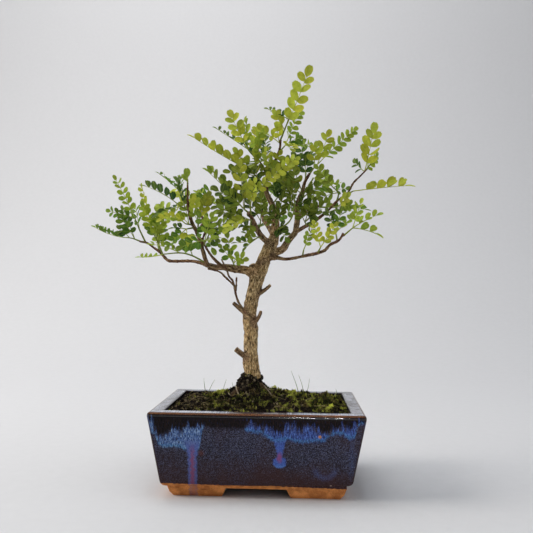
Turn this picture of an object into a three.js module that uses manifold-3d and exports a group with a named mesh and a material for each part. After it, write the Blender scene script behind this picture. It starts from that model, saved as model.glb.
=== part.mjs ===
// A Chinese pepper bonsai: a small gnarled tree with pinnate leaves, in a glazed rectangular pot.
// Millimetres, +Z up. The table is z = 0 and the viewer of the display side looks along +Y.

import * as THREE from 'three';
import { mergeVertices } from 'three/addons/utils/BufferGeometryUtils.js';
import Module from 'manifold-3d';

const wasm = await Module();
wasm.setup();

// Driving dimensions
const POT_LENGTH = 150;
const POT_WIDTH = 110;
const POT_HEIGHT = 60;
const RIM_WIDTH = 11.7;
const RIM_DEPTH = 4.5;
const WALL_THICKNESS = 7;
const WALL_DRAFT = 10.8;
const WALL_BOTTOM = 11.5;
const FOOT_HEIGHT = 6.5;
const FOOT_WIDTH = 15;
const FLOOR_TOP = 16.5;
const DRAIN_DIAMETER = 10;
const DRAIN_SPACING = 64;
const MESH_SIDE = 20;
const MESH_THICKNESS = 1;
const GAP = 0.3;
const SOIL_EDGE = 58;
const SOIL_CROWN = 5;
const MOUND_CENTRE = [-9, 0];
const MOUND_TOP = 9;
const MOUND_SKIRT = 8;
const TREE_RISE = 0.5;
const MOSS_DEPTH = 3;
const MOSS_RISE = 1.8;
const SHOOT_RADIUS = 0.75;
const LEAF_THICKNESS = 0.6;
const RIB_HALF_WIDTH = 0.45;
const LEAFLET_LEAN = 28;

// The object is placed so that its plan, from leaf tip to leaf tip, is centred on the origin
const PLAN_CENTRE = [-13, 1.6];

const rad = THREE.MathUtils.degToRad;
const vec = (p) => new THREE.Vector3(p[0], p[1], p[2]);

// A point of the wood or the leaves: their tables count heights from TREE_RISE above the table top
const place = (p) => new THREE.Vector3(p[0], p[1], p[2] + TREE_RISE);

// A small seeded generator, so that every run makes the same tree
function randomFrom(seed) {
  let state = seed;
  return () => {
    state = (state * 1664525 + 1013904223) % 4294967296;
    return state / 4294967296;
  };
}

// Solids and joins

function solid(geometry) {
  geometry.deleteAttribute('normal');
  geometry.deleteAttribute('uv');
  const merged = mergeVertices(geometry, 1e-4);
  return new wasm.Manifold(new wasm.Mesh({
    numProp: 3,
    vertProperties: new Float32Array(merged.attributes.position.array),
    triVerts: new Uint32Array(merged.index.array),
  }));
}

function geometryOf(body) {
  const mesh = body.getMesh();
  const geometry = new THREE.BufferGeometry();
  geometry.setAttribute('position', new THREE.BufferAttribute(mesh.vertProperties, 3));
  geometry.setIndex(new THREE.BufferAttribute(mesh.triVerts, 1));
  return geometry;
}

function facets(points, faces) {
  const geometry = new THREE.BufferGeometry();
  const places = points.flatMap((p) => [p.x, p.y, p.z]);
  geometry.setAttribute('position', new THREE.Float32BufferAttribute(places, 3));
  geometry.setIndex(faces.flat());
  return geometry;
}

function largest(body) {
  const parts = body.decompose();
  return parts.reduce((best, part) => (part.volume() > best.volume() ? part : best));
}

// A closed skin through rings of points that are alike in number
function loft(rings) {
  const points = rings.flat();
  const n = rings[0].length;
  const faces = [];
  for (let k = 0; k + 1 < rings.length; k += 1) {
    for (let i = 0; i < n; i += 1) {
      const j = (i + 1) % n;
      const [a, b, c, d] = [k * n + i, k * n + j, (k + 1) * n + j, (k + 1) * n + i];
      faces.push([a, b, c], [a, c, d]);
    }
  }
  const last = (rings.length - 1) * n;
  for (let i = 1; i + 1 < n; i += 1) {
    faces.push([0, i + 1, i], [last, last + i, last + i + 1]);
  }
  return facets(points, faces);
}

// Pot

function roundedRing(halfLength, halfWidth, radius, z) {
  const ring = [];
  const corners = [[1, -1, -90], [1, 1, 0], [-1, 1, 90], [-1, -1, 180]];
  for (const [sx, sy, start] of corners) {
    for (const step of [0, 30, 60, 90]) {
      const angle = rad(start + step);
      const x = sx * (halfLength - radius) + radius * Math.cos(angle);
      const y = sy * (halfWidth - radius) + radius * Math.sin(angle);
      ring.push(new THREE.Vector3(x, y, z));
    }
  }
  return ring;
}

// Half the pot's length or width at a height: its walls lean in towards the foot
function potHalf(side, z) {
  return side / 2 - WALL_DRAFT * (1 - z / POT_HEIGHT);
}

// A ring at a height that follows the wall's outside at a level, less an inset
function wallRing(level, inset, radius, z) {
  return roundedRing(potHalf(POT_LENGTH, level) - inset, potHalf(POT_WIDTH, level) - inset, radius, z);
}

function box(low, high) {
  const geometry = new THREE.BoxGeometry(high[0] - low[0], high[1] - low[1], high[2] - low[2]);
  geometry.translate((low[0] + high[0]) / 2, (low[1] + high[1]) / 2, (low[2] + high[2]) / 2);
  return solid(geometry);
}

// The space in the pot, less a clearance all round: straight walls under an inward lip
function potSpace(clearance, top) {
  const inset = WALL_THICKNESS + clearance;
  const lip = RIM_WIDTH + clearance;
  const lipBottom = POT_HEIGHT - RIM_DEPTH;
  const shoulder = lipBottom - 4;
  return solid(loft([
    wallRing(FLOOR_TOP, inset, 6, FLOOR_TOP + clearance),
    wallRing(shoulder, inset, 6, shoulder - clearance),
    wallRing(POT_HEIGHT, lip, 5, lipBottom - clearance),
    wallRing(POT_HEIGHT, lip, 5, top),
  ]));
}

// A slot under the pot between two feet, wider at the table than at its ceiling
function footArch(topHalf, bottomHalf, reach) {
  const shape = new THREE.Shape();
  shape.moveTo(-bottomHalf, -1);
  shape.lineTo(bottomHalf, -1);
  shape.lineTo(topHalf, FOOT_HEIGHT);
  shape.lineTo(-topHalf, FOOT_HEIGHT);
  const geometry = new THREE.ExtrudeGeometry(shape, { depth: 2 * reach, bevelEnabled: false });
  geometry.translate(0, 0, -reach);
  geometry.rotateX(Math.PI / 2);
  return geometry;
}

const FRONT_ARCH_HALF = 21;
const SIDE_ARCH_HALF = 11;
const RIM_ROUND = 0.9;

function potSolid() {
  const [footLength, footWidth] = [potHalf(POT_LENGTH, WALL_BOTTOM) - 2, potHalf(POT_WIDTH, WALL_BOTTOM) - 2];
  const skirt = loft([
    roundedRing(footLength - 5.8, footWidth - 4.3, 4, 0),
    roundedRing(footLength - 3.3, footWidth - 1.8, 4, 3),
    roundedRing(footLength - 1.8, footWidth - 0.3, 4, WALL_BOTTOM - 1),
  ]);
  const wall = loft([
    roundedRing(footLength - 1.5, footWidth, 3, WALL_BOTTOM - 2.2),
    wallRing(WALL_BOTTOM, 0, 4, WALL_BOTTOM),
    wallRing(POT_HEIGHT, 0.2, 4, POT_HEIGHT - RIM_ROUND),
    wallRing(POT_HEIGHT, RIM_ROUND, 3.2, POT_HEIGHT),
  ]);
  const [hollowLength, hollowWidth] = [footLength - FOOT_WIDTH, footWidth - FOOT_WIDTH];
  const sideArch = footArch(SIDE_ARCH_HALF, SIDE_ARCH_HALF + 3, POT_LENGTH);
  sideArch.rotateZ(Math.PI / 2);
  let pot = solid(skirt).add(solid(wall));
  pot = pot.subtract(potSpace(0, POT_HEIGHT + 2));
  pot = pot.subtract(box([-hollowLength, -hollowWidth, -1], [hollowLength, hollowWidth, FOOT_HEIGHT]));
  pot = pot.subtract(solid(footArch(FRONT_ARCH_HALF, FRONT_ARCH_HALF + 4, POT_WIDTH)));
  pot = pot.subtract(solid(sideArch));
  for (const side of [-1, 1]) {
    const drain = new THREE.CylinderGeometry(DRAIN_DIAMETER / 2, DRAIN_DIAMETER / 2, 2 * FLOOR_TOP, 12);
    drain.rotateX(Math.PI / 2);
    drain.translate((side * DRAIN_SPACING) / 2, 0, FLOOR_TOP / 2);
    pot = pot.subtract(solid(drain));
  }
  return pot;
}

// A plastic mesh square that keeps the soil in over a drain hole
function drainMesh(x) {
  const half = MESH_SIDE / 2;
  const [pitch, hole] = [MESH_SIDE / 5, MESH_SIDE / 8];
  let mesh = box([x - half, -half, FLOOR_TOP + GAP], [x + half, half, FLOOR_TOP + GAP + MESH_THICKNESS]);
  for (const cx of [x - pitch, x + pitch]) {
    for (const cy of [-pitch, pitch]) {
      mesh = mesh.subtract(box([cx - hole, cy - hole, 0], [cx + hole, cy + hole, POT_HEIGHT]));
    }
  }
  return mesh;
}

// Wood: each limb is a row of points with the radius there

const TRUNK = [
  [-6, 0, 46, 7], [-6, 0, 56, 8.5], [-6, 0, 65, 8.2], [-6, 0, 71, 6.8], [-6, 0, 77, 5.8],
  [-7, 0, 84, 5.8], [-8, 0, 91, 6], [-8, 1, 98, 5.1], [-8, 1, 106, 5.2], [-8, 2, 114, 5.5],
  [-9, 2, 122, 5.4], [-9, 2, 129, 5.1], [-7, 2, 138, 5], [-5, 1, 146, 5.3], [-4, 1, 153, 5.8],
  [-1, 1, 160, 5.4], [1, 2, 166, 5.1], [5, 3, 175, 5.2], [8, 4, 183, 4.4],
];

const LIMBS = {
  bough: [
    [-5, 0, 155, 4.2], [-12, -2, 159, 3.3], [-20, -5, 160, 2.9], [-28, -8, 161, 2.5],
    [-35, -10, 161, 2.2], [-42, -12, 163, 1.9],
  ],
  riser: [
    [-40, -12, 161, 1.7], [-43, -13, 170, 1.6], [-45, -16, 178, 1.6], [-48, -18, 187, 1.5],
    [-51, -20, 193, 1.4], [-53, -22, 200, 1.2], [-54, -24, 209, 1], [-54, -25, 216, 0.8],
    [-54, -26, 223, 0.7],
  ],
  far: [
    [-40, -11, 162, 1.6], [-49, -6, 165, 1.3], [-57, 0, 166, 1.2], [-68, 5, 166, 1.3],
    [-75, 8, 167, 1.3], [-81, 10, 173, 1.1], [-87, 12, 177, 1], [-93, 14, 181, 0.9],
    [-99, 14, 182, 0.8],
  ],
  cross: [[-29, -8, 161, 1.4], [-35, -18, 167, 1.1], [-38, -26, 172, 0.9], [-41, -34, 178, 0.7]],
  inner: [
    [-45, -15, 177, 0.9], [-42, -17, 186, 0.8], [-38, -14, 194, 0.7], [-34, -8, 199, 0.7],
    [-31, -2, 204, 0.6],
  ],
  drop: [
    [-10, 1, 125, 1.2], [-13, 0, 128, 1], [-17, -4, 134, 0.9], [-19, -7, 140, 0.9],
    [-21, -10, 150, 0.8], [-24, -12, 154, 0.8], [-25, -20, 159, 0.7], [-28, -28, 166, 0.6],
  ],
  drop_side: [[-20, -9, 147, 0.8], [-26, -16, 153, 0.8], [-30, -22, 157, 0.7], [-38, -28, 159, 0.6]],
  drop_slip: [[-19, -8, 143, 0.8], [-19, -4, 154, 0.6]],
  stub_low: [[-7, 0, 91, 2.8], [-13, -2, 94, 2.2], [-19, -4, 99, 2]],
  stub_middle: [[-8, 1, 123, 2.4], [-15, 2, 128, 1.8], [-22, 3, 134, 1.5]],
  stub_right: [[-6, 2, 139, 2.2], [1, 1, 143, 1.5], [7, 0, 148, 1.2]],
  stub_bud: [[-7, 1, 117, 2], [-2, -3, 123, 1.5], [0, -5, 128, 1.2]],
  stub_fork: [[-5, 0, 156, 3.6], [-6, -4, 160, 3.2], [-7, -6, 163, 2.9]],
  stub_high: [[1, 0, 164, 2.4], [-1, -4, 168, 1.8]],
  stub_spur: [[5, 2, 169, 2.6], [13, 1, 169, 1.3]],
  centre: [
    [8, 4, 181, 4.2], [10, 5, 190, 3.4], [10, 6, 198, 3], [10, 7, 205, 2.6],
    [7, 8, 212, 2.2], [3, 9, 220, 2], [2, 11, 228, 1.7], [3, 13, 236, 1.4],
    [5, 14, 243, 1.2],
  ],
  top_shoot: [[4, 14, 242, 1.1], [9, 8, 246, 1.1], [13, -4, 252, 1], [14, -12, 258, 0.9]],
  top_twig: [[3, 12, 232, 1], [-1, 10, 243, 0.8], [-8, 7, 250, 0.7]],
  left_leader: [
    [7, 3, 179, 3], [3, -4, 182, 2.3], [-1, -11, 186, 2.1], [-4, -17, 191, 1.9],
    [-6, -22, 196, 1.6], [-9, -26, 201, 1.3],
  ],
  right_leader: [
    [7, 4, 173, 3.6], [15, 9, 176, 2.8], [20, 13, 183, 2.6], [25, 16, 190, 2.4],
    [27, 18, 199, 2.3], [27, 20, 208, 2.2], [28, 22, 216, 2.1], [31, 23, 224, 1.7],
    [33, 24, 232, 1.3], [37, 22, 239, 1],
  ],
  right_long: [
    [25, 16, 190, 1.7], [34, 11, 195, 1.5], [40, 7, 198, 1.5], [46, 3, 202, 1.2],
    [52, -1, 207, 1], [58, -5, 213, 0.9], [65, -9, 218, 0.8], [69, -12, 225, 0.8],
    [74, -14, 230, 0.7], [79, -15, 235, 0.6],
  ],
  right_low: [
    [7, 3, 171, 1.9], [16, -3, 168, 1.3], [23, -8, 168, 1.2], [29, -13, 169, 1.1],
    [35, -18, 170, 1.2], [41, -23, 171, 1.3], [47, -27, 173, 1.2], [51, -30, 177, 1.1],
    [57, -33, 180, 1], [60, -35, 185, 0.9],
  ],
  back: [[8, 5, 180, 3], [8, 16, 187, 2.2], [4, 27, 195, 1.8], [-1, 36, 203, 1.4], [-3, 43, 212, 1]],
  back_left: [[-48, -18, 187, 1.2], [-46, -4, 194, 1], [-48, 10, 200, 0.9], [-52, 22, 208, 0.8]],
  back_right: [[27, 19, 204, 1.6], [36, 28, 209, 1.2], [46, 36, 215, 0.9], [54, 42, 222, 0.8]],
  root_left: [[-9, -2, 72, 3.4], [-14, -5, 70.5, 2], [-19, -8, 66.5, 1.6], [-24, -12, 62, 1.2]],
  root_right: [[-3, -2, 72, 3.4], [2, -5, 70.5, 2], [7, -7, 66.5, 1.5], [12, -10, 62, 1.1]],
  root_front: [[-6, -3, 72, 3], [-8, -9, 70, 1.8], [-7, -14, 66, 1.4], [-9, -20, 61.5, 1]],
};

const TRUNK_SIDES = 9;

function limb(rows, swell, sides) {
  const curve = new THREE.CatmullRomCurve3(rows.map(place), false, 'catmullrom', 0.5);
  const steps = rows.length - 1;
  let side = new THREE.Vector3(0.31, 0.95, 0.05);
  const rings = rows.map((row, k) => {
    const along = curve.getTangent(k / steps).normalize();
    side = side.clone().addScaledVector(along, -side.dot(along)).normalize();
    const across = new THREE.Vector3().crossVectors(along, side);
    const radius = row[3] + swell;
    return Array.from({ length: sides }, (_, i) => {
      const angle = (2 * Math.PI * i) / sides;
      const ridge = sides === TRUNK_SIDES ? 1 + 0.05 * Math.sin(2.6 * i + 0.9 * k) : 1;
      return place(row)
        .addScaledVector(side, radius * ridge * Math.cos(angle))
        .addScaledVector(across, radius * ridge * Math.sin(angle));
    });
  });
  return solid(loft(rings));
}

// The whole tree's wood, or the same a little fatter, which cuts clearances in what it passes through
function woodSolid(swell) {
  const limbs = Object.values(LIMBS).map((rows) => {
    const thickness = rows[0][3];
    const slim = thickness > 1.6 ? 5 : 4;
    return limb(rows, swell, thickness > 2.5 ? 6 : slim);
  });
  return limbs.reduce((tree, body) => tree.add(body), limb(TRUNK, swell, TRUNK_SIDES));
}

// Soil: a crowned bed that rises to a steep-sided mound at the roots, with a wide skirt

function soilHeight(x, y) {
  const bed = SOIL_CROWN * (1 - (x / 63) ** 2) * (1 - (y / 43) ** 2);
  const away = (x - MOUND_CENTRE[0]) ** 2 + (y - MOUND_CENTRE[1]) ** 2;
  const mound = MOUND_TOP * Math.exp(-((away / 135) ** 3)) + MOUND_SKIRT * Math.exp(-away / 420);
  const clods = 0.7 * Math.sin(0.41 * x + 1.3 * Math.sin(0.23 * y)) + 0.6 * Math.sin(0.47 * y + 0.19 * x + 1);
  return SOIL_EDGE + Math.max(bed, 0) + mound + clods;
}

function soilSolid(wood, hollows) {
  const [nx, ny] = [12, 8];
  const [halfX, halfY] = [64, 44];
  const points = [];
  const faces = [];
  for (const level of ['top', 'base']) {
    for (let j = 0; j <= ny; j += 1) {
      for (let i = 0; i <= nx; i += 1) {
        const x = -halfX + (2 * halfX * i) / nx;
        const y = -halfY + (2 * halfY * j) / ny;
        points.push(new THREE.Vector3(x, y, level === 'top' ? soilHeight(x, y) : SOIL_EDGE - 4.5));
      }
    }
  }
  const base = (nx + 1) * (ny + 1);
  const at = (i, j) => j * (nx + 1) + i;
  for (let j = 0; j < ny; j += 1) {
    for (let i = 0; i < nx; i += 1) {
      const [a, b, c, d] = [at(i, j), at(i + 1, j), at(i + 1, j + 1), at(i, j + 1)];
      faces.push([a, b, c], [a, c, d], [base + a, base + c, base + b], [base + a, base + d, base + c]);
    }
  }
  const wall = (p, q) => faces.push([q, p, base + p], [q, base + p, base + q]);
  for (let i = 0; i < nx; i += 1) {
    wall(at(i, 0), at(i + 1, 0));
    wall(at(i + 1, ny), at(i, ny));
  }
  for (let j = 0; j < ny; j += 1) {
    wall(at(0, j + 1), at(0, j));
    wall(at(nx, j), at(nx, j + 1));
  }
  const bed = solid(facets(points, faces)).intersect(potSpace(GAP, 90));
  let soil = potSpace(GAP, SOIL_EDGE - 3.5).add(bed).subtract(wood);
  for (const side of [-1, 1]) {
    const half = MESH_SIDE / 2 + GAP;
    const x = (side * DRAIN_SPACING) / 2;
    soil = soil.subtract(box([x - half, -half, 0], [x + half, half, FLOOR_TOP + MESH_THICKNESS + 2 * GAP]));
  }
  for (const hollow of hollows) {
    soil = soil.subtract(hollow);
  }
  return largest(soil);
}

// Moss: cushions of short leafy tufts on a low base that is let into the soil

const MOSS = {
  moss_left: [-34, 8, 12, 9],
  moss_middle: [26, 13, 15, 10],
  moss_right: [46, -19, 12, 12],
};

function mossRing(row, factor, swell, height) {
  const [x, y, rx, ry] = row;
  return Array.from({ length: 9 }, (_, i) => {
    const angle = (2 * Math.PI * i) / 9;
    const wave = 1 + 0.12 * Math.sin(3.1 * i + x);
    return new THREE.Vector3(
      x + (rx * factor * wave + swell) * Math.cos(angle),
      y + (ry * factor * wave + swell) * Math.sin(angle),
      height,
    );
  });
}

function mossBase(row) {
  const z = soilHeight(row[0], row[1]);
  return solid(loft([
    mossRing(row, 0.9, 0, z - MOSS_DEPTH),
    mossRing(row, 1, 0, z),
    mossRing(row, 0.7, 0, z + MOSS_RISE),
  ]));
}

// The hollow in the soil that a cushion sits in, open upwards
function mossHollow(row) {
  const z = soilHeight(row[0], row[1]);
  return solid(loft([
    mossRing(row, 0.9, GAP, z - MOSS_DEPTH - GAP),
    mossRing(row, 1, GAP, z),
    mossRing(row, 1, GAP, z + 10),
  ]));
}

function mossSolid(row, seed) {
  const random = randomFrom(seed);
  const [x, y, rx, ry] = row;
  const z = soilHeight(x, y);
  let moss = mossBase(row);
  const tufts = 12;
  for (let i = 0; i < tufts; i += 1) {
    const angle = i * 2.4;
    const reach = 0.55 * Math.sqrt((i + 0.5) / tufts);
    const tuft = new THREE.ConeGeometry(1.6 + 0.6 * random(), 4.6 + 1.2 * random(), 4);
    tuft.rotateX(Math.PI / 2);
    tuft.rotateX(0.5 * (random() - 0.5));
    tuft.rotateY(0.5 * (random() - 0.5));
    tuft.translate(x + rx * reach * Math.cos(angle), y + ry * reach * Math.sin(angle), z + 1.4);
    moss = moss.add(solid(tuft));
  }
  return largest(moss);
}

// Leaves

// How a leaf is held: the way its face looks, and how far its leaflets fold up from flat
const HABITS = {
  front: { face: [0, -1, 0.3], fold: 18 },
  veed: { face: [0, -1, 0.55], fold: 36 },
  shelf: { face: [0.05, -0.45, 1], fold: 32 },
  comb: { face: [0.05, -0.3, 1], fold: 62 },
  left: { face: [-0.8, -0.7, 0.3], fold: 22 },
  right: { face: [0.8, -0.7, 0.3], fold: 22 },
  back: { face: [0.1, 1, 0.4], fold: 22 },
};

// The share of a leaf's real leaflet pairs that its blade is cut into: fewer and wider than life
const PAIR_SHARE = 0.63;

// The midrib of one pinnate leaf, and how many pairs of leaflets really fit on it
function leafRib(base, tip, rise, length, habit, taper) {
  const { face, fold } = HABITS[habit];
  const from = place(base);
  const to = place(tip);
  const bend = from.clone().lerp(to, 0.5).add(new THREE.Vector3(0, 0, rise));
  const reach = (2 * from.distanceTo(to) + from.distanceTo(bend) + bend.distanceTo(to)) / 3;
  const curve = new THREE.QuadraticBezierCurve3(from, bend, to);
  const stalk = Math.min(Math.max(2.5, 0.13 * reach) / reach, 0.3);
  const end = Math.max(1 - (0.85 * length * (1 - 0.5 * taper)) / reach, 0.15);
  const realPairs = Math.max(0, Math.round((reach * (end - stalk)) / (0.76 * length * (1 - 0.3 * taper))));
  const frameAt = (t) => {
    const along = curve.getTangent(t);
    const side = new THREE.Vector3().crossVectors(along, vec(face)).normalize();
    const up = new THREE.Vector3().crossVectors(side, along).normalize();
    return { point: curve.getPoint(t), along, side, up };
  };
  // The way a leaflet points: folded up from flat, and leaning towards the leaf's tip
  const leafletAxis = (frame, hand) => frame.side.clone().multiplyScalar(hand * Math.cos(rad(fold)))
    .addScaledVector(frame.up, Math.sin(rad(fold))).multiplyScalar(Math.cos(rad(LEAFLET_LEAN)))
    .addScaledVector(frame.along, Math.sin(rad(LEAFLET_LEAN))).normalize();
  return { frameAt, leafletAxis, stalk, end, realPairs, to, length, taper };
}

// Every leaflet of the blade: where it joins the rib, the way it points, and its size
function leafletsOf(rib) {
  const { stalk, end, taper } = rib;
  const pairs = rib.realPairs ? Math.max(1, Math.round(PAIR_SHARE * rib.realPairs)) : 0;
  const first = pairs ? stalk : end;
  const pitchShare = (end - first) / Math.max(pairs, 1);
  const stations = Array.from({ length: pairs + 1 }, (_, k) => first + pitchShare * k);
  const frames = stations.map(rib.frameAt);
  const leaflets = [];
  for (let k = 0; k < pairs; k += 1) {
    const middle = rib.frameAt((stations[k] + stations[k + 1]) / 2);
    const swell = 0.86 + 0.14 * Math.sin((Math.PI * (k + 0.6)) / pairs);
    const length = rib.length * swell * (1 - (taper * (k + 1)) / (pairs + 1));
    const pitch = frames[k].point.distanceTo(frames[k + 1].point);
    const width = Math.min(0.95 * length, 0.93 * pitch * Math.cos(rad(LEAFLET_LEAN)));
    for (const hand of [1, -1]) {
      const axis = rib.leafletAxis(middle, hand);
      const cross = middle.along.clone().addScaledVector(axis, -middle.along.dot(axis)).normalize();
      const normal = new THREE.Vector3().crossVectors(axis, cross).multiplyScalar(hand);
      const root = middle.point.clone().addScaledVector(middle.side, hand * RIB_HALF_WIDTH);
      leaflets.push({ k, hand, root, axis, cross, normal, length, width });
    }
  }
  const last = rib.frameAt(end);
  const endLength = last.point.distanceTo(rib.to);
  const endLeaflet = {
    root: last.point,
    axis: last.along,
    cross: last.side,
    normal: last.up,
    length: endLength,
    width: 0.72 * endLength,
  };
  return { start: rib.frameAt(0), frames, leaflets, endLeaflet };
}

// A thin plate on a surface of points: both faces are split into triangles alike
function plate(points, normals, faces, thickness) {
  const half = thickness / 2;
  const upper = points.map((p, i) => p.clone().addScaledVector(normals[i], half));
  const lower = points.map((p, i) => p.clone().addScaledVector(normals[i], -half));
  const n = points.length;
  const all = [];
  const edges = new Set(faces.flatMap(([a, b, c]) => [`${a} ${b}`, `${b} ${c}`, `${c} ${a}`]));
  for (const [a, b, c] of faces) {
    all.push([a, b, c], [n + a, n + c, n + b]);
    for (const [p, q] of [[a, b], [b, c], [c, a]]) {
      if (!edges.has(`${q} ${p}`)) {
        all.push([p, n + p, n + q], [p, n + q, q]);
      }
    }
  }
  return solid(facets([...upper, ...lower], all));
}

// The outer corners of a leaflet, as shares of its length out from the rib and of its width to either side
const LEAFLET_SHAPE = [[0.86, -0.42], [0.94, 0.36]];
const END_SHAPE = [[0.55, -0.5], [1, 0], [0.6, 0.5]];

// One leaf: a thin arched blade whose leaflets are cut to the rib
function leafSolid(rib) {
  const leaf = leafletsOf(rib);
  const points = [];
  const normals = [];
  const faces = [];
  const add = (point, normal) => points.push(point) && normals.push(normal) && points.length - 1;
  const ribEdges = (frame) => [1, -1].map((hand) => (
    add(frame.point.clone().addScaledVector(frame.side, hand * RIB_HALF_WIDTH), frame.up)
  ));
  const rails = [leaf.start, ...leaf.frames].map(ribEdges);
  for (let k = 0; k + 1 < rails.length; k += 1) {
    const [a, b] = rails[k];
    const [c, d] = rails[k + 1];
    faces.push([a, c, d], [a, d, b]);
  }
  const outline = (leaflet, shape) => shape.map(([out, sideways]) => add(
    leaflet.root.clone().addScaledVector(leaflet.axis, out * leaflet.length)
      .addScaledVector(leaflet.cross, sideways * leaflet.width),
    leaflet.normal,
  ));
  for (const leaflet of leaf.leaflets) {
    const rail = leaflet.hand > 0 ? 0 : 1;
    const [near, far] = [rails[leaflet.k + 1][rail], rails[leaflet.k + 2][rail]];
    const [a, b] = outline(leaflet, LEAFLET_SHAPE);
    const fan = [[near, a, b], [near, b, far]];
    faces.push(...fan.map((face) => (leaflet.hand > 0 ? face : [face[0], face[2], face[1]])));
  }
  const [right, left] = rails[rails.length - 1];
  const [a, b, c] = outline(leaf.endLeaflet, END_SHAPE);
  faces.push([left, right, c], [left, c, b], [left, b, a]);
  return plate(points, normals, faces, LEAF_THICKNESS);
}

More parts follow.
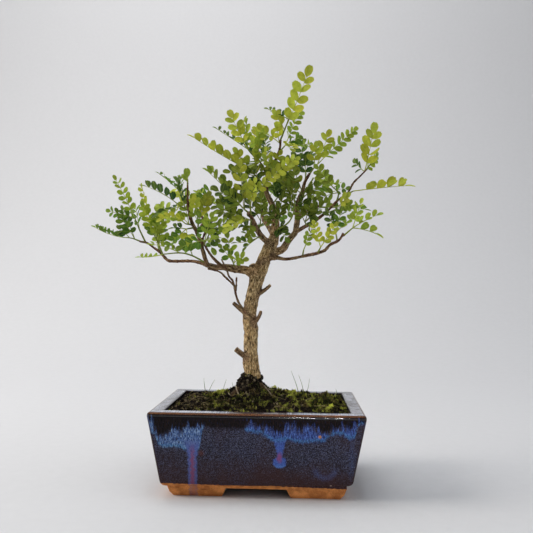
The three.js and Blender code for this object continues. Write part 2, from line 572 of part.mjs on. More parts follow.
// Sprays: a green shoot and its leaves. A leaf's row is the shoot point it grows from, its tip, how far the
// middle of its rib is lifted, its leaflets' length, its habit, its tone and how much it dwindles to its tip.
const SPRAYS = {
  left_tip: {
    stem: [[-98, 14, 182], [-103, 14, 184], [-107, 13, 185]],
    leaves: [
      [2, [-141, 20, 196], -5, 6, 'comb', 'dark', 0.2],
      [1, [-112, 4, 210], 2, 6, 'left', 'deep', 0],
    ],
  },
  left_crown: {
    stem: [[-94, 14, 181], [-98, 9, 191], [-101, 5, 200]],
    leaves: [
      [2, [-116, -12, 229], 2, 6, 'front', 'fresh', 0.2],
      [1, [-106, 22, 213], 2, 7, 'front', 'dark', 0],
    ],
  },
  left_bunch: {
    stem: [[-79, 9, 171], [-82, 3, 181], [-85, -2, 188]],
    leaves: [
      [2, [-92, -12, 211], 1, 8, 'front', 'fresh', 0],
      [1, [-78, 0, 210], 2, 8, 'front', 'fresh', 0],
      [2, [-95, -6, 229], 3, 6, 'left', 'young', 0.5],
    ],
  },
  left_slip: {
    stem: [[-82, 10, 173], [-85, 15, 183], [-86, 17, 188]],
    leaves: [
      [2, [-75, 20, 206], 3, 7, 'front', 'fresh', 0],
      [1, [-98, 24, 198], 3, 7, 'shelf', 'dark', 0],
    ],
  },
  left_arch: {
    stem: [[-51, -20, 192], [-55, -26, 192]],
    leaves: [
      [1, [-75, -34, 192], 9, 6, 'veed', 'young', 0],
      [1, [-81, -16, 207], 4, 7, 'front', 'fresh', 0],
    ],
  },
  left_drop: {
    stem: [[-50, -19, 190], [-54, -28, 188]],
    leaves: [
      [1, [-68, -36, 171], 2, 6, 'veed', 'dark', 0],
      [1, [-51, -36, 174], 1, 8, 'front', 'young', 0],
    ],
  },
  left_fan: {
    stem: [[-54, -26, 219], [-54, -26, 225]],
    leaves: [
      [1, [-55, -26, 233], 0, 9.5, 'front', 'fresh', 0],
    ],
  },
  left_dark_low: {
    stem: [[-53, -22, 202], [-59, -26, 205]],
    leaves: [
      [1, [-84, -32, 219], 5, 8, 'veed', 'deep', 0],
    ],
  },
  left_dark_high: {
    stem: [[-54, -23, 206], [-58, -16, 213], [-62, -12, 218]],
    leaves: [
      [2, [-83, -6, 235], 2, 7, 'front', 'deep', 0.4],
      [1, [-72, 2, 222], 1, 6, 'front', 'young', 0],
    ],
  },
  left_bright: {
    stem: [[-47, -18, 186], [-46, -25, 194], [-46, -30, 199]],
    leaves: [
      [2, [-49, -34, 220], 0, 9, 'front', 'young', 0],
      [1, [-38, -20, 219], -2, 8, 'front', 'young', 0],
    ],
  },
  left_inner: {
    stem: [[-33, -5, 202], [-30, 1, 206]],
    leaves: [
      [1, [-17, 6, 218], 2, 8, 'front', 'fresh', 0],
      [1, [-46, 2, 214], 2, 7, 'front', 'fresh', 0],
      [1, [-14, 8, 198], 3, 7, 'front', 'dark', 0],
    ],
  },
  left_core: {
    stem: [[-44, -15, 176], [-40, -21, 181], [-38, -25, 184]],
    leaves: [
      [2, [-45, -38, 200], 1, 8, 'front', 'dark', 0],
      [2, [-20, -32, 194], 3, 7, 'front', 'fresh', 0],
      [1, [-20, -24, 174], 2, 7, 'front', 'dark', 0],
    ],
  },
  left_under: {
    stem: [[-42, -12, 164], [-51, -17, 169], [-60, -19, 171], [-73, -18, 170]],
    leaves: [
      [3, [-95, -16, 168], -2, 8, 'shelf', 'fresh', 0],
      [1, [-57, -23, 186], 1, 8, 'front', 'dark', 0],
      [2, [-84, -26, 177], 3, 5, 'shelf', 'fresh', 0],
    ],
  },
  left_front: {
    stem: [[-40, -31, 176], [-39, -37, 179]],
    leaves: [
      [1, [-58, -48, 171], 2, 7, 'front', 'dark', 0],
      [1, [-32, -48, 198], 2, 7, 'front', 'fresh', 0],
    ],
  },
  bough_shoot: {
    stem: [[-20, -4, 160], [-21, -9, 164], [-22, -12, 168]],
    leaves: [
      [2, [-26, -16, 188], 0, 7, 'front', 'fresh', 0],
      [1, [-5, -18, 167], 5, 7, 'shelf', 'fresh', 0],
    ],
  },
  bough_leaf: {
    stem: [[0, -9, 184], [-2, -17, 183]],
    leaves: [
      [1, [-22, -20, 179], -3, 6, 'comb', 'dark', 0],
    ],
  },
  leader_low: {
    stem: [[-6, -21, 195], [-8, -28, 195]],
    leaves: [
      [1, [-25, -44, 183], 7, 7, 'front', 'young', 0],
      [1, [-35, -17, 202], 4, 7, 'front', 'fresh', 0],
    ],
  },
  leader_crown: {
    stem: [[-8, -25, 200], [-12, -27, 203], [-15, -28, 206]],
    leaves: [
      [2, [-37, -38, 222], 0, 9, 'veed', 'deep', 0],
      [2, [-43, -22, 236], 3, 6.5, 'veed', 'fresh', 0],
      [1, [-15, -38, 238], 0, 8, 'front', 'young', 0],
      [1, [-26, -38, 214], 3, 7, 'front', 'fresh', 0],
    ],
  },
  leader_arm: {
    stem: [[-7, -23, 198], [-7, -32, 204], [-7, -36, 209]],
    leaves: [
      [2, [29, -46, 237], 6, 8, 'front', 'young', 0],
      [1, [-2, -50, 222], 1, 8, 'front', 'young', 0],
    ],
  },
  left_mast: {
    stem: [[3, 10, 224], [-5, 5, 233], [-12, 1, 238]],
    leaves: [
      [2, [-55, -8, 265], 2, 7.5, 'shelf', 'fresh', 0],
      [1, [-30, -10, 234], 2, 8, 'front', 'fresh', 0],
      [2, [-22, -12, 252], 1, 8, 'front', 'young', 0],
    ],
  },
  top_left: {
    stem: [[4, 13, 239], [1, 9, 246]],
    leaves: [
      [1, [-42, 16, 276], 1, 9, 'front', 'young', 0.4],
      [1, [-9, -16, 236], 3, 8, 'front', 'fresh', 0],
    ],
  },
  top_fork: {
    stem: [[-7, 7, 249], [-12, 4, 254]],
    leaves: [
      [1, [-28, 6, 287], -2, 9, 'front', 'young', 0],
      [1, [-15, 10, 283], 1, 8, 'left', 'fresh', 0],
    ],
  },
  top_tip: {
    stem: [[13, -10, 256], [17, -17, 264], [20, -21, 271]],
    leaves: [
      [2, [36, -38, 306], -3, 9.5, 'front', 'young', 0.15],
      [2, [1, -14, 282], 1, 6, 'shelf', 'deep', 0.4],
      [1, [-8, -24, 266], 3, 6.5, 'veed', 'young', 0],
      [1, [8, -26, 277], 1, 8, 'front', 'young', 0],
    ],
  },
  top_right: {
    stem: [[11, 0, 249], [17, 3, 257]],
    leaves: [
      [1, [31, 10, 294], -1, 7, 'right', 'fresh', 0],
      [1, [32, 14, 266], 3, 7, 'right', 'dark', 0],
      [1, [24, -20, 247], 3, 8, 'shelf', 'young', 0],
    ],
  },
  arch_leaf: {
    stem: [[10, 4, 190], [21, -9, 196], [25, -17, 206], [24, -22, 214]],
    leaves: [
      [3, [1, -34, 242], 1, 8, 'front', 'fresh', 0],
      [2, [14, -28, 224], 2, 7, 'front', 'fresh', 0],
    ],
  },
  right_glow: {
    stem: [[28, 20, 211], [31, 7, 216], [30, 1, 222]],
    leaves: [
      [2, [21, -8, 244], 1, 8, 'front', 'young', 0],
      [1, [46, -4, 226], 2, 7, 'front', 'fresh', 0],
    ],
  },
  core_left: {
    stem: [[3, 9, 219], [-1, 17, 227]],
    leaves: [
      [1, [-14, 24, 246], 1, 8.5, 'front', 'deep', 0],
      [1, [-20, 22, 222], 3, 8, 'front', 'deep', 0],
    ],
  },
  core_right: {
    stem: [[7, 8, 211], [11, 17, 218]],
    leaves: [
      [1, [24, 27, 240], 1, 8.5, 'front', 'deep', 0],
      [1, [4, 26, 240], 1, 8, 'front', 'dark', 0],
    ],
  },
  core_front: {
    stem: [[-2, -13, 188], [0, -20, 195]],
    leaves: [
      [1, [1, -28, 216], 0, 7, 'front', 'fresh', 0],
      [1, [-12, -16, 212], 2, 8, 'front', 'deep', 0],
    ],
  },
  core_low: {
    stem: [[10, 5, 193], [12, -6, 196]],
    leaves: [
      [1, [17, -12, 219], 0, 7, 'front', 'fresh', 0],
      [1, [1, -12, 207], 2, 6.5, 'left', 'fresh', 0],
    ],
  },
  core_high: {
    stem: [[2, 11, 229], [7, 3, 235]],
    leaves: [
      [1, [25, -2, 246], 2, 8, 'front', 'fresh', 0],
      [1, [3, -26, 249], 1, 8, 'front', 'young', 0],
      [1, [22, 0, 230], 3, 8, 'front', 'dark', 0],
    ],
  },
  right_crown: {
    stem: [[36, 22, 237], [40, 22, 243], [43, 22, 246]],
    leaves: [
      [2, [53, 14, 273], 0, 10, 'front', 'young', 0],
      [2, [77, 34, 280], 2, 7, 'shelf', 'deep', 0.4],
      [1, [42, 8, 262], 1, 9, 'front', 'young', 0],
    ],
  },
  right_shade: {
    stem: [[33, 24, 231], [34, 30, 241]],
    leaves: [
      [1, [28, 38, 275], -1, 8, 'front', 'deep', 0],
      [1, [22, 20, 256], 1, 8, 'front', 'deep', 0],
    ],
  },
  right_hook: {
    stem: [[57, -4, 212], [58, -10, 218], [54, -13, 221]],
    leaves: [
      [2, [39, -18, 238], 1, 8, 'front', 'fresh', 0],
      [2, [63, -22, 226], 0, 7, 'veed', 'fresh', 0],
      [1, [42, -10, 212], 2, 7, 'front', 'fresh', 0],
    ],
  },
  right_spire: {
    stem: [[77, -15, 233], [81, -18, 238]],
    leaves: [
      [1, [85, -22, 272], -1, 7.5, 'front', 'fresh', 0],
      [1, [93, -8, 254], -2, 5.5, 'right', 'fresh', 0],
      [1, [67, -6, 249], -2, 7, 'left', 'deep', 0],
    ],
  },
  right_comb: {
    stem: [[64, -8, 217], [69, -11, 219]],
    leaves: [
      [1, [115, -14, 223], -3, 7.5, 'comb', 'fresh', 0],
    ],
  },
  right_bright: {
    stem: [[54, -2, 208], [57, -12, 207]],
    leaves: [
      [1, [67, -20, 221], -2, 8, 'front', 'young', 0],
      [1, [71, -16, 205], 3, 7, 'front', 'fresh', 0],
    ],
  },
  right_shelf: {
    stem: [[46, 3, 202], [53, 9, 206], [60, 12, 208]],
    leaves: [
      [2, [86, 16, 208], 2, 8, 'shelf', 'dark', 0],
      [1, [72, 2, 217], 1, 8, 'front', 'dark', 0],
    ],
  },
  right_end: {
    stem: [[60, -34, 183], [66, -41, 188]],
    leaves: [
      [1, [87, -46, 198], 2, 6.5, 'shelf', 'fresh', 0],
      [1, [88, -40, 181], 6, 8, 'shelf', 'fresh', 0],
      [1, [72, -50, 208], 1, 7, 'front', 'fresh', 0],
    ],
  },
  right_ladder: {
    stem: [[31, -14, 169], [32, -18, 174]],
    leaves: [
      [1, [40, -20, 196], -1, 5, 'front', 'fresh', 0],
    ],
  },
  right_low_leaf: {
    stem: [[42, -24, 171], [44, -30, 175]],
    leaves: [
      [1, [56, -36, 193], 0, 8, 'front', 'young', 0],
      [1, [38, -38, 194], 0, 6, 'front', 'young', 0],
    ],
  },
  right_thorn: {
    stem: [[56, -32, 179], [55, -27, 186]],
    leaves: [
      [1, [48, -22, 205], 1, 6, 'front', 'deep', 0],
      [1, [60, -26, 206], 0, 6, 'front', 'dark', 0],
      [1, [74, -20, 202], 2, 7.5, 'front', 'fresh', 0],
    ],
  },
  right_arm: {
    stem: [[27, 18, 201], [34, 9, 205]],
    leaves: [
      [1, [58, 18, 212], 3, 8, 'veed', 'fresh', 0],
    ],
  },
  right_inner: {
    stem: [[29, 22, 218], [34, 27, 222]],
    leaves: [
      [1, [54, 34, 232], 3, 8, 'front', 'dark', 0],
      [1, [46, 12, 216], 3, 7, 'front', 'fresh', 0],
    ],
  },
  right_bud: {
    stem: [[35, 11, 195], [33, 4, 197]],
    leaves: [
      [1, [25, -4, 206], 1, 6, 'front', 'fresh', 0],
      [1, [46, -6, 204], 2, 7, 'front', 'dark', 0],
    ],
  },
  back_top: {
    stem: [[-2, 42, 210], [-3, 46, 216]],
    leaves: [
      [1, [-20, 56, 240], 3, 8, 'back', 'fresh', 0],
      [1, [16, 55, 238], 3, 8, 'back', 'dark', 0],
      [1, [-3, 57, 210], 6, 8, 'shelf', 'fresh', 0],
    ],
  },
  back_middle: {
    stem: [[4, 27, 194], [8, 33, 200]],
    leaves: [
      [1, [26, 48, 214], 3, 8, 'back', 'dark', 0],
      [1, [-17, 57, 191], 4, 8, 'shelf', 'deep', 0],
    ],
  },
  back_left: {
    stem: [[-51, 21, 207], [-54, 27, 213]],
    leaves: [
      [1, [-78, 38, 224], 3, 8, 'back', 'fresh', 0],
      [1, [-44, 46, 232], 3, 8, 'back', 'dark', 0],
      [1, [-32, 36, 214], 4, 8, 'shelf', 'fresh', 0],
    ],
  },
  back_right: {
    stem: [[53, 41, 221], [56, 45, 227]],
    leaves: [
      [1, [48, 54, 252], 2, 8, 'back', 'fresh', 0],
      [1, [82, 50, 236], 3, 8, 'back', 'dark', 0],
      [1, [42, 57, 222], 5, 8, 'shelf', 'fresh', 0],
    ],
  },
};

function spraySolid({ stem, leaves }, wood) {
  const rows = stem.map((point, k) => [...point, SHOOT_RADIUS - 0.1 * k]);
  let spray = limb(rows, 0, 3);
  for (const [at, tip, rise, length, habit, , taper] of leaves) {
    spray = spray.add(leafSolid(leafRib(stem[at], tip, rise, length, habit, taper)));
  }
  return largest(spray.subtract(wood));
}

// Finishes
const finish = (color, roughness) => new THREE.MeshStandardMaterial({ color, roughness, metalness: 0 });
const GLAZE = { color: '#2b2335', roughness: 0.25 };
const LEAF_TONES = { young: '#a9b83a', fresh: '#6f962b', dark: '#46722a', deep: '#2c5a30' };

function piece(name, body, color, roughness) {
  const mesh = new THREE.Mesh(geometryOf(body), finish(color, roughness));
  mesh.name = name;
  return mesh;
}

const bonsai = new THREE.Group();
bonsai.position.set(-PLAN_CENTRE[0], -PLAN_CENTRE[1], 0);
bonsai.add(piece('pot', potSolid(), GLAZE.color, GLAZE.roughness));
bonsai.add(piece('drain_mesh_left', drainMesh(-DRAIN_SPACING / 2), '#1c1c1c', 0.6));
bonsai.add(piece('drain_mesh_right', drainMesh(DRAIN_SPACING / 2), '#1c1c1c', 0.6));

const wood = woodSolid(0);
const woodClearance = woodSolid(GAP);
bonsai.add(piece('tree_wood', wood, '#8e7450', 0.85));

Object.entries(MOSS).forEach(([name, row], k) => {
  const moss = mossSolid(row, 11 + k).subtract(woodClearance);
  bonsai.add(piece(name, largest(moss), '#5f7a26', 0.95));
});
const mossHollows = Object.values(MOSS).map(mossHollow);
bonsai.add(piece('soil', soilSolid(woodClearance, mossHollows), '#2a211a', 0.95));

for (const [name, spray] of Object.entries(SPRAYS)) {
  const tone = spray.leaves[0][5];
  bonsai.add(piece(`spray_${name}`, spraySolid(spray, woodClearance), LEAF_TONES[tone], 0.55));
}

export default bonsai;
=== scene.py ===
import math
import random

import bmesh
import bpy
from mathutils import Matrix, Quaternion, Vector, kdtree, noise


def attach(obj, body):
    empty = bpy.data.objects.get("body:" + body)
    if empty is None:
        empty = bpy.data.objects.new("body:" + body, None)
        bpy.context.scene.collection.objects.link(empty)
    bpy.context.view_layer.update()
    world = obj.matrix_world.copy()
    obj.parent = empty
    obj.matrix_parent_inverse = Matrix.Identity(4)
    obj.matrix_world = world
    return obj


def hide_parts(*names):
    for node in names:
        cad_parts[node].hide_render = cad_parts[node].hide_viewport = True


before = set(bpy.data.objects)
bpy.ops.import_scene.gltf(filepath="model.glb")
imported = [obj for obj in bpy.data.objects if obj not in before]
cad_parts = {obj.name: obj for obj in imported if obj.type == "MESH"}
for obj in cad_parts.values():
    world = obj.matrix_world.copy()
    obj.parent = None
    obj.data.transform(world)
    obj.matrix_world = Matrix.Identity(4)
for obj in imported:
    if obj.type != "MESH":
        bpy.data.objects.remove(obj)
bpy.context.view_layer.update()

# The studio. A seamless sweep of pale card, lit by a large soft box at the upper left, a narrow strip
# overhead, a small gridded one low in front for the bright line under the pot's rim, and a wash on the
# backdrop. The camera is level with the foliage's foot and a little turned, as in the photograph.
NODE_MODES = {
    "Math": "operation", "VectorMath": "operation", "MapRange": "interpolation_type", "MixRGB": "blend_type",
}


def linear(code):
    """An sRGB hex colour as linear red, green, blue and a full alpha."""
    shares = [int(code[i : i + 2], 16) / 255 for i in (1, 3, 5)]
    return [s / 12.92 if s <= 0.04045 else ((s + 0.055) / 1.055) ** 2.4 for s in shares] + [1]


def node(material, kind, inputs=(), **settings):
    """Adds a node. A word after its kind is its mode. Inputs come in socket order or by name, each a value,
    a hex colour, a socket, or a node, which gives its first live output."""
    kind, _, mode = kind.partition(" ")
    made = material.node_tree.nodes.new("ShaderNode" + kind)
    if mode:
        settings[NODE_MODES[kind]] = mode
    for name, value in settings.items():
        setattr(made, name, value)
    for socket, value in inputs.items() if isinstance(inputs, dict) else enumerate(inputs):
        if isinstance(value, str):
            value = linear(value)
        if isinstance(value, bpy.types.Node):
            value = next(out for out in value.outputs if out.enabled)
        if isinstance(value, bpy.types.NodeSocket):
            material.node_tree.links.new(value, made.inputs[socket])
        else:
            made.inputs[socket].default_value = value
    return made


def new_material(name):
    made = bpy.data.materials.new(name)
    made.use_nodes = True
    made.node_tree.nodes.clear()
    return made


def place(name, data):
    """An object of this data, linked to the scene."""
    made = bpy.data.objects.new(name, data)
    bpy.context.scene.collection.objects.link(made)
    return made


# The pot stands beside the middle of the object's plan, because the tree leans over its left side
POT_X, POT_Y = 0.013, -0.0016
CAMERA_PLACE = Vector((0.0400, -0.4878, 0.1411))
CAMERA_TURN, CAMERA_TILT, CAMERA_ROLL = (math.radians(a) for a in (2.75, 2.54, 0.56))
CARD_SIZE, CARD_FRONT, CARD_HEIGHT, CARD_CURVE = 8, -2.6, 7, 0.9

camera = place("camera", bpy.data.cameras.new("camera"))
bpy.context.scene.camera = camera
camera.data.lens = 42.7
camera.data.clip_start = 0.01
turn = Quaternion((0, 0, 1), CAMERA_TURN) @ Quaternion((1, 0, 0), math.pi / 2 + CAMERA_TILT)
turn = turn @ Quaternion((0, 0, 1), CAMERA_ROLL)
camera.matrix_world = Matrix.Translation(CAMERA_PLACE) @ turn.to_matrix().to_4x4()


def pick(piece, kind, test):
    """Selects the faces or edges whose middle and direction pass a test, with the rest let go."""
    bpy.ops.mesh.select_mode(type=kind)
    bpy.ops.mesh.select_all(action="DESELECT")
    shape = bmesh.from_edit_mesh(piece.data)
    for part in shape.faces if kind == "FACE" else shape.edges:
        middle = sum((v.co for v in part.verts), Vector()) / len(part.verts)
        way = part.normal if kind == "FACE" else (part.verts[0].co - part.verts[1].co).normalized()
        part.select_set(bool(test(middle, way)))
    bmesh.update_edit_mesh(piece.data)


bpy.ops.object.select_all(action="DESELECT")
bpy.ops.mesh.primitive_plane_add(size=CARD_SIZE, location=(0, CARD_FRONT, 0))
sweep = bpy.context.object
sweep.name = "paper_sweep"
bpy.ops.object.mode_set(mode="EDIT")
pick(sweep, "EDGE", lambda at, way: at.y > 3)
bpy.ops.mesh.extrude_region_move(TRANSFORM_OT_translate={"value": (0, 0, CARD_HEIGHT)})
pick(sweep, "EDGE", lambda at, way: at.y > 3 and at.z < 0.01)
bpy.ops.mesh.bevel(offset=CARD_CURVE, segments=16)
bpy.ops.object.mode_set(mode="OBJECT")
bpy.ops.object.transform_apply(location=True, rotation=True, scale=True)
bpy.ops.object.shade_smooth()

card = new_material("matt_grey_card")
card_grain = node(card, "TexNoise", {"Scale": 900, "Detail": 2})
card_tone = node(card, "MixRGB", [card_grain, "#d0d0d2", "#d5d5d7"])
card_look = {"Base Color": card_tone, "Roughness": 0.85, "Specular IOR Level": 0.2}
card_shade = node(card, "BsdfPrincipled", card_look)
node(card, "OutputMaterial", [card_shade])
sweep.data.materials.append(card)

# Each lamp's place, what it points at, its size, power and tint, and how wide its light spreads in degrees
LAMPS = {
    "window_box": ((-1.52, -0.28, 0.95), (0, 0, 0.10), (0.7, 0.7), 18.6, "#fff9f0", 180),
    "ceiling_strip": ((0.06, -0.30, 1.25), (0.02, 0, 0.10), (0.06, 0.4), 1.0, "#ffffff", 180),
    "gridded_strip": ((0.19, -1.25, 0.30), (0.065, -0.057, 0.10), (0.13, 0.02), 0.030, "#ffffff", 12),
    "wall_wash": ((-0.34, 0.2, 1.6), (0.25, 1.4, 0.5), (0.8, 0.8), 11.0, "#ffffff", 180),
}
for name, (stand, target, size, power, tint, cone) in LAMPS.items():
    lamp = place(name, bpy.data.lights.new(name, "AREA"))
    lamp.data.shape = "RECTANGLE"
    lamp.data.size, lamp.data.size_y = size
    lamp.data.energy = power
    lamp.data.color = linear(tint)[:3]
    lamp.data.spread = math.radians(cone)
    lamp.location = stand
    lamp.rotation_euler = (Vector(target) - Vector(stand)).to_track_quat("-Z", "Y").to_euler()

# The air of the room: pale all round but dim behind the camera, so that the glaze keeps its deep tones
sky = bpy.data.worlds.new("studio_air")
bpy.context.scene.world = sky
sky.use_nodes = True
sky.node_tree.nodes.clear()
sky_way = node(sky, "TexCoord").outputs["Generated"]
sky_back = node(sky, "SeparateXYZ", [sky_way]).outputs["Y"]
sky_strength = node(sky, "MapRange", [sky_back, -0.75, 0.05, 0.27, 0.98])
air = node(sky, "Background", ["#e9edf2", sky_strength])
node(sky, "OutputWorld", [air])
bpy.context.scene.view_settings.view_transform = "Standard"

# The pot. A press-moulded stoneware tray of 150 by 110 mm with walls that lean in to the foot, a flat
# lipped rim and a skirt cut into four corner feet. It was glazed dark all over but the foot, and a second
# blue glaze was poured inside the rim's edge, so that it ran down the walls in streaks and drips.
POT_LENGTH, POT_WIDTH = 0.150, 0.110
LIP_FOOT, WALL_END = 0.0576, 0.0127
WALL_END_SIZE = (0.1342, 0.0944)
CORNER_ROUND = 0.0018
# Height, length and width of the pot in millimetres along its lip, over the flat rim and down inside
RIM_STEPS = [
    (58.5, 149.7, 109.7), (59.3, 149, 109), (59.8, 147.6, 107.6), (60, 145.6, 105.6), (60, 130.8, 91.4),
    (59.6, 129.8, 90.4), (55.5, 129.8, 90.4), (51.5, 133, 93), (16.5, 123, 84),
]
# The same down the rounded foot of the wall and the bare skirt below it
FOOT_STEPS = [
    (10.9, 133, 93.2), (9.8, 131.2, 91.4), (9.1, 129, 89.2), (8.9, 125.4, 86), (7.5, 125.4, 86), (3, 122, 84),
    (0, 117.4, 79.8),
]
WALL_END_TILT, TILT_HEIGHT = math.radians(1.1), 0.0105
HOLLOW_HALF_LENGTH, HOLLOW_HALF_WIDTH = 0.0493, 0.0293
FOOT_TOP, BELOW_FOOT, PAST_WALL = 0.0065, -0.002, 0.1
# Half of each arch between the feet at its top, along and across the pot, and how it widens to the table
ARCHES = [(0.021, PAST_WALL, (25 / 21, 1)), (PAST_WALL, 0.011, (1, 14 / 11))]
DRAIN_RADIUS, DRAIN_PLACE, DRAIN_HEIGHT, DRAIN_DEPTH = 0.005, 0.032, 0.012, 0.03
ARRIS_ROUND, ARRIS_ANGLE, SMOOTH_ANGLE = 0.0005, math.radians(33), math.radians(40)


def select_only(piece):
    bpy.ops.object.select_all(action="DESELECT")
    piece.select_set(True)
    bpy.context.view_layer.objects.active = piece


def edit(piece):
    select_only(piece)
    bpy.ops.object.mode_set(mode="EDIT")


def widen(x, y):
    bpy.ops.transform.resize(value=(x, y, 1), center_override=(POT_X, POT_Y, 0))


def settle(piece):
    """Back to object mode, with the piece's place in its mesh."""
    bpy.ops.object.mode_set(mode="OBJECT")
    select_only(piece)
    bpy.ops.object.transform_apply(location=True, rotation=True, scale=True)


def modify(piece, kind, **settings):
    select_only(piece)
    made = piece.modifiers.new(kind.lower(), kind)
    for name, value in settings.items():
        setattr(made, name, value)
    bpy.ops.object.modifier_apply(modifier=made.name)


def block(name, half_length, half_width, bottom, top):
    """A cube round the pot's middle, ready for edit mode."""
    bpy.ops.object.select_all(action="DESELECT")
    bpy.ops.mesh.primitive_cube_add(size=1, location=(POT_X, POT_Y, (bottom + top) / 2))
    made = bpy.context.object
    made.name = name
    made.scale = (2 * half_length, 2 * half_width, top - bottom)
    bpy.ops.object.transform_apply(location=True, rotation=True, scale=True)
    return made


def draw_out(steps, height, length, width):
    """Extrudes the selected face up or down through rows of height, length and width in millimetres."""
    for next_height, next_length, next_width in steps:
        rise = (next_height - height) / 1000
        bpy.ops.mesh.extrude_region_move(TRANSFORM_OT_translate={"value": (0, 0, rise)})
        widen(next_length / length, next_width / width)
        height, length, width = next_height, next_length, next_width


def cut(piece, tool):
    modify(piece, "BOOLEAN", operation="DIFFERENCE", object=tool, solver="EXACT")
    bpy.data.objects.remove(tool)


pot = block("glazed_pot", POT_LENGTH / 2, POT_WIDTH / 2, WALL_END, LIP_FOOT)
edit(pot)
pick(pot, "FACE", lambda at, way: way.z < -0.9)
widen(WALL_END_SIZE[0] / POT_LENGTH, WALL_END_SIZE[1] / POT_WIDTH)
pick(pot, "EDGE", lambda at, way: abs(way.z) > 0.9)
bpy.ops.mesh.bevel(offset=CORNER_ROUND, segments=5, affect="EDGES")
pick(pot, "FACE", lambda at, way: way.z > 0.9)
draw_out(RIM_STEPS, LIP_FOOT * 1000, POT_LENGTH * 1000, POT_WIDTH * 1000)
pick(pot, "FACE", lambda at, way: way.z < -0.9 and at.z < WALL_END + 0.0001)
draw_out(FOOT_STEPS, WALL_END * 1000, WALL_END_SIZE[0] * 1000, WALL_END_SIZE[1] * 1000)
pick(pot, "EDGE", lambda at, way: 0.0088 < at.z < WALL_END + 0.0001 and abs(way.z) < 0.1)
bpy.ops.transform.rotate(value=WALL_END_TILT, orient_axis="Y", center_override=(POT_X, POT_Y, TILT_HEIGHT))
settle(pot)
cut(pot, block("foot_hollow", HOLLOW_HALF_LENGTH, HOLLOW_HALF_WIDTH, BELOW_FOOT, FOOT_TOP))
for half_length, half_width, flare in ARCHES:
    arch = block("arch", half_length, half_width, BELOW_FOOT, FOOT_TOP)
    edit(arch)
    pick(arch, "FACE", lambda at, way: way.z < -0.9)
    widen(*flare)
    settle(arch)
    cut(pot, arch)
for side in (-1, 1):
    drain_at = (POT_X + side * DRAIN_PLACE, POT_Y, DRAIN_HEIGHT)
    bpy.ops.mesh.primitive_cylinder_add(
        vertices=32, radius=DRAIN_RADIUS, depth=DRAIN_DEPTH, location=drain_at,
    )
    cut(pot, bpy.context.object)
modify(pot, "BEVEL", width=ARRIS_ROUND, segments=3, limit_method="ANGLE", angle_limit=ARRIS_ANGLE)
bpy.ops.object.shade_smooth_by_angle(angle=SMOOTH_ANGLE)


def meet(material, *masks, ease="SMOOTHSTEP"):
    """How much shows where all masks meet. A mask is a node, or a pattern with the values where it starts and
    is full, which may be followed by its least and its most."""
    share = None
    for mask in masks:
        if isinstance(mask, tuple):
            mask = node(material, "MapRange " + ease, mask)
        share = mask if share is None else node(material, "Math MULTIPLY", [share, mask])
    return share


def lay_on(material, under, coats, ease="SMOOTHSTEP"):
    """Lays coats over a colour, one on another. Each is a colour and the masks that it shows through."""
    for colour, *masks in coats:
        share = meet(material, *masks, ease=ease)
        under = node(material, "MixRGB", [share, under, colour])
    return under


# The pot's finish. It works in millimetres from the pot's middle, with heights from 1.5 mm over the table,
# and in a distance round the walls from the middle of the front, which is minus at the left and meets at
# the back.
HALF_ROUND, SIDE_MIDDLE, CORNER_AT = 260, 130, 20
GLAZE_FLOOR, CURVE_TOP = 1.5, 60
glaze = new_material("drip_glazed_stoneware")
object_at = node(glaze, "TexCoord").outputs["Object"]
pot_middle = (-POT_X * 1000, -POT_Y * 1000, -GLAZE_FLOOR)
at_mm = node(glaze, "Mapping", {0: object_at, "Scale": (1000, 1000, 1000), "Location": pot_middle})
x, y, z = node(glaze, "SeparateXYZ", [at_mm]).outputs
wide = node(glaze, "Math ABSOLUTE", [x])
deep = node(glaze, "Math ABSOLUTE", [y])
past_corner = node(glaze, "Math SUBTRACT", [wide, deep])
on_side = node(glaze, "Math GREATER_THAN", [past_corner, CORNER_AT])
behind = node(glaze, "Math GREATER_THAN", [y, 0])
round_back = node(glaze, "Math SUBTRACT", [HALF_ROUND, wide])
round_side = node(glaze, "Math ADD", [y, SIDE_MIDDLE])
front_or_back = node(glaze, "Mix", {0: behind, 2: wide, 3: round_back})
walk = node(glaze, "Mix", {0: on_side, 2: front_or_back, 3: round_side})
way_round = node(glaze, "Math SIGN", [x])
around = node(glaze, "Math MULTIPLY", [walk, way_round])
around_share = node(glaze, "MapRange", [around, -HALF_ROUND, HALF_ROUND])
on_front = node(glaze, "Math LESS_THAN", [y, -30])

# How high the poured blue glaze starts and ends round the pot, as distances and heights in millimetres
BLUE_TOP = [
    (-260, 50), (-225, 47), (-190, 51), (-150, 45), (-120, 50), (-95, 46), (-75, 54), (-71, 53.5),
    (-66, 42), (-61.5, 44.3), (-57, 46.5), (-52, 46.6), (-48.6, 45.2), (-46.4, 50.8), (-43.6, 46),
    (-42, 47.5), (-36, 50), (-34, 48.5), (-24, 48), (-21.5, 47.8), (-10, 47.8), (-7.5, 48.6),
    (-5.5, 51.6), (-3, 52.5), (0, 49.5), (9.7, 49.3), (14.4, 45.2), (19, 48.1), (22.5, 50.9), (27, 50.3),
    (30.6, 47.5), (34, 51.9), (38, 50), (41, 49.9), (44, 46.5), (47.5, 45.9), (51, 48.7), (55.5, 48.8),
    (59.5, 51), (63.6, 49), (67.5, 54), (72, 55), (80, 50), (105, 46), (130, 51), (160, 47), (200, 52),
    (235, 47), (260, 50),
]
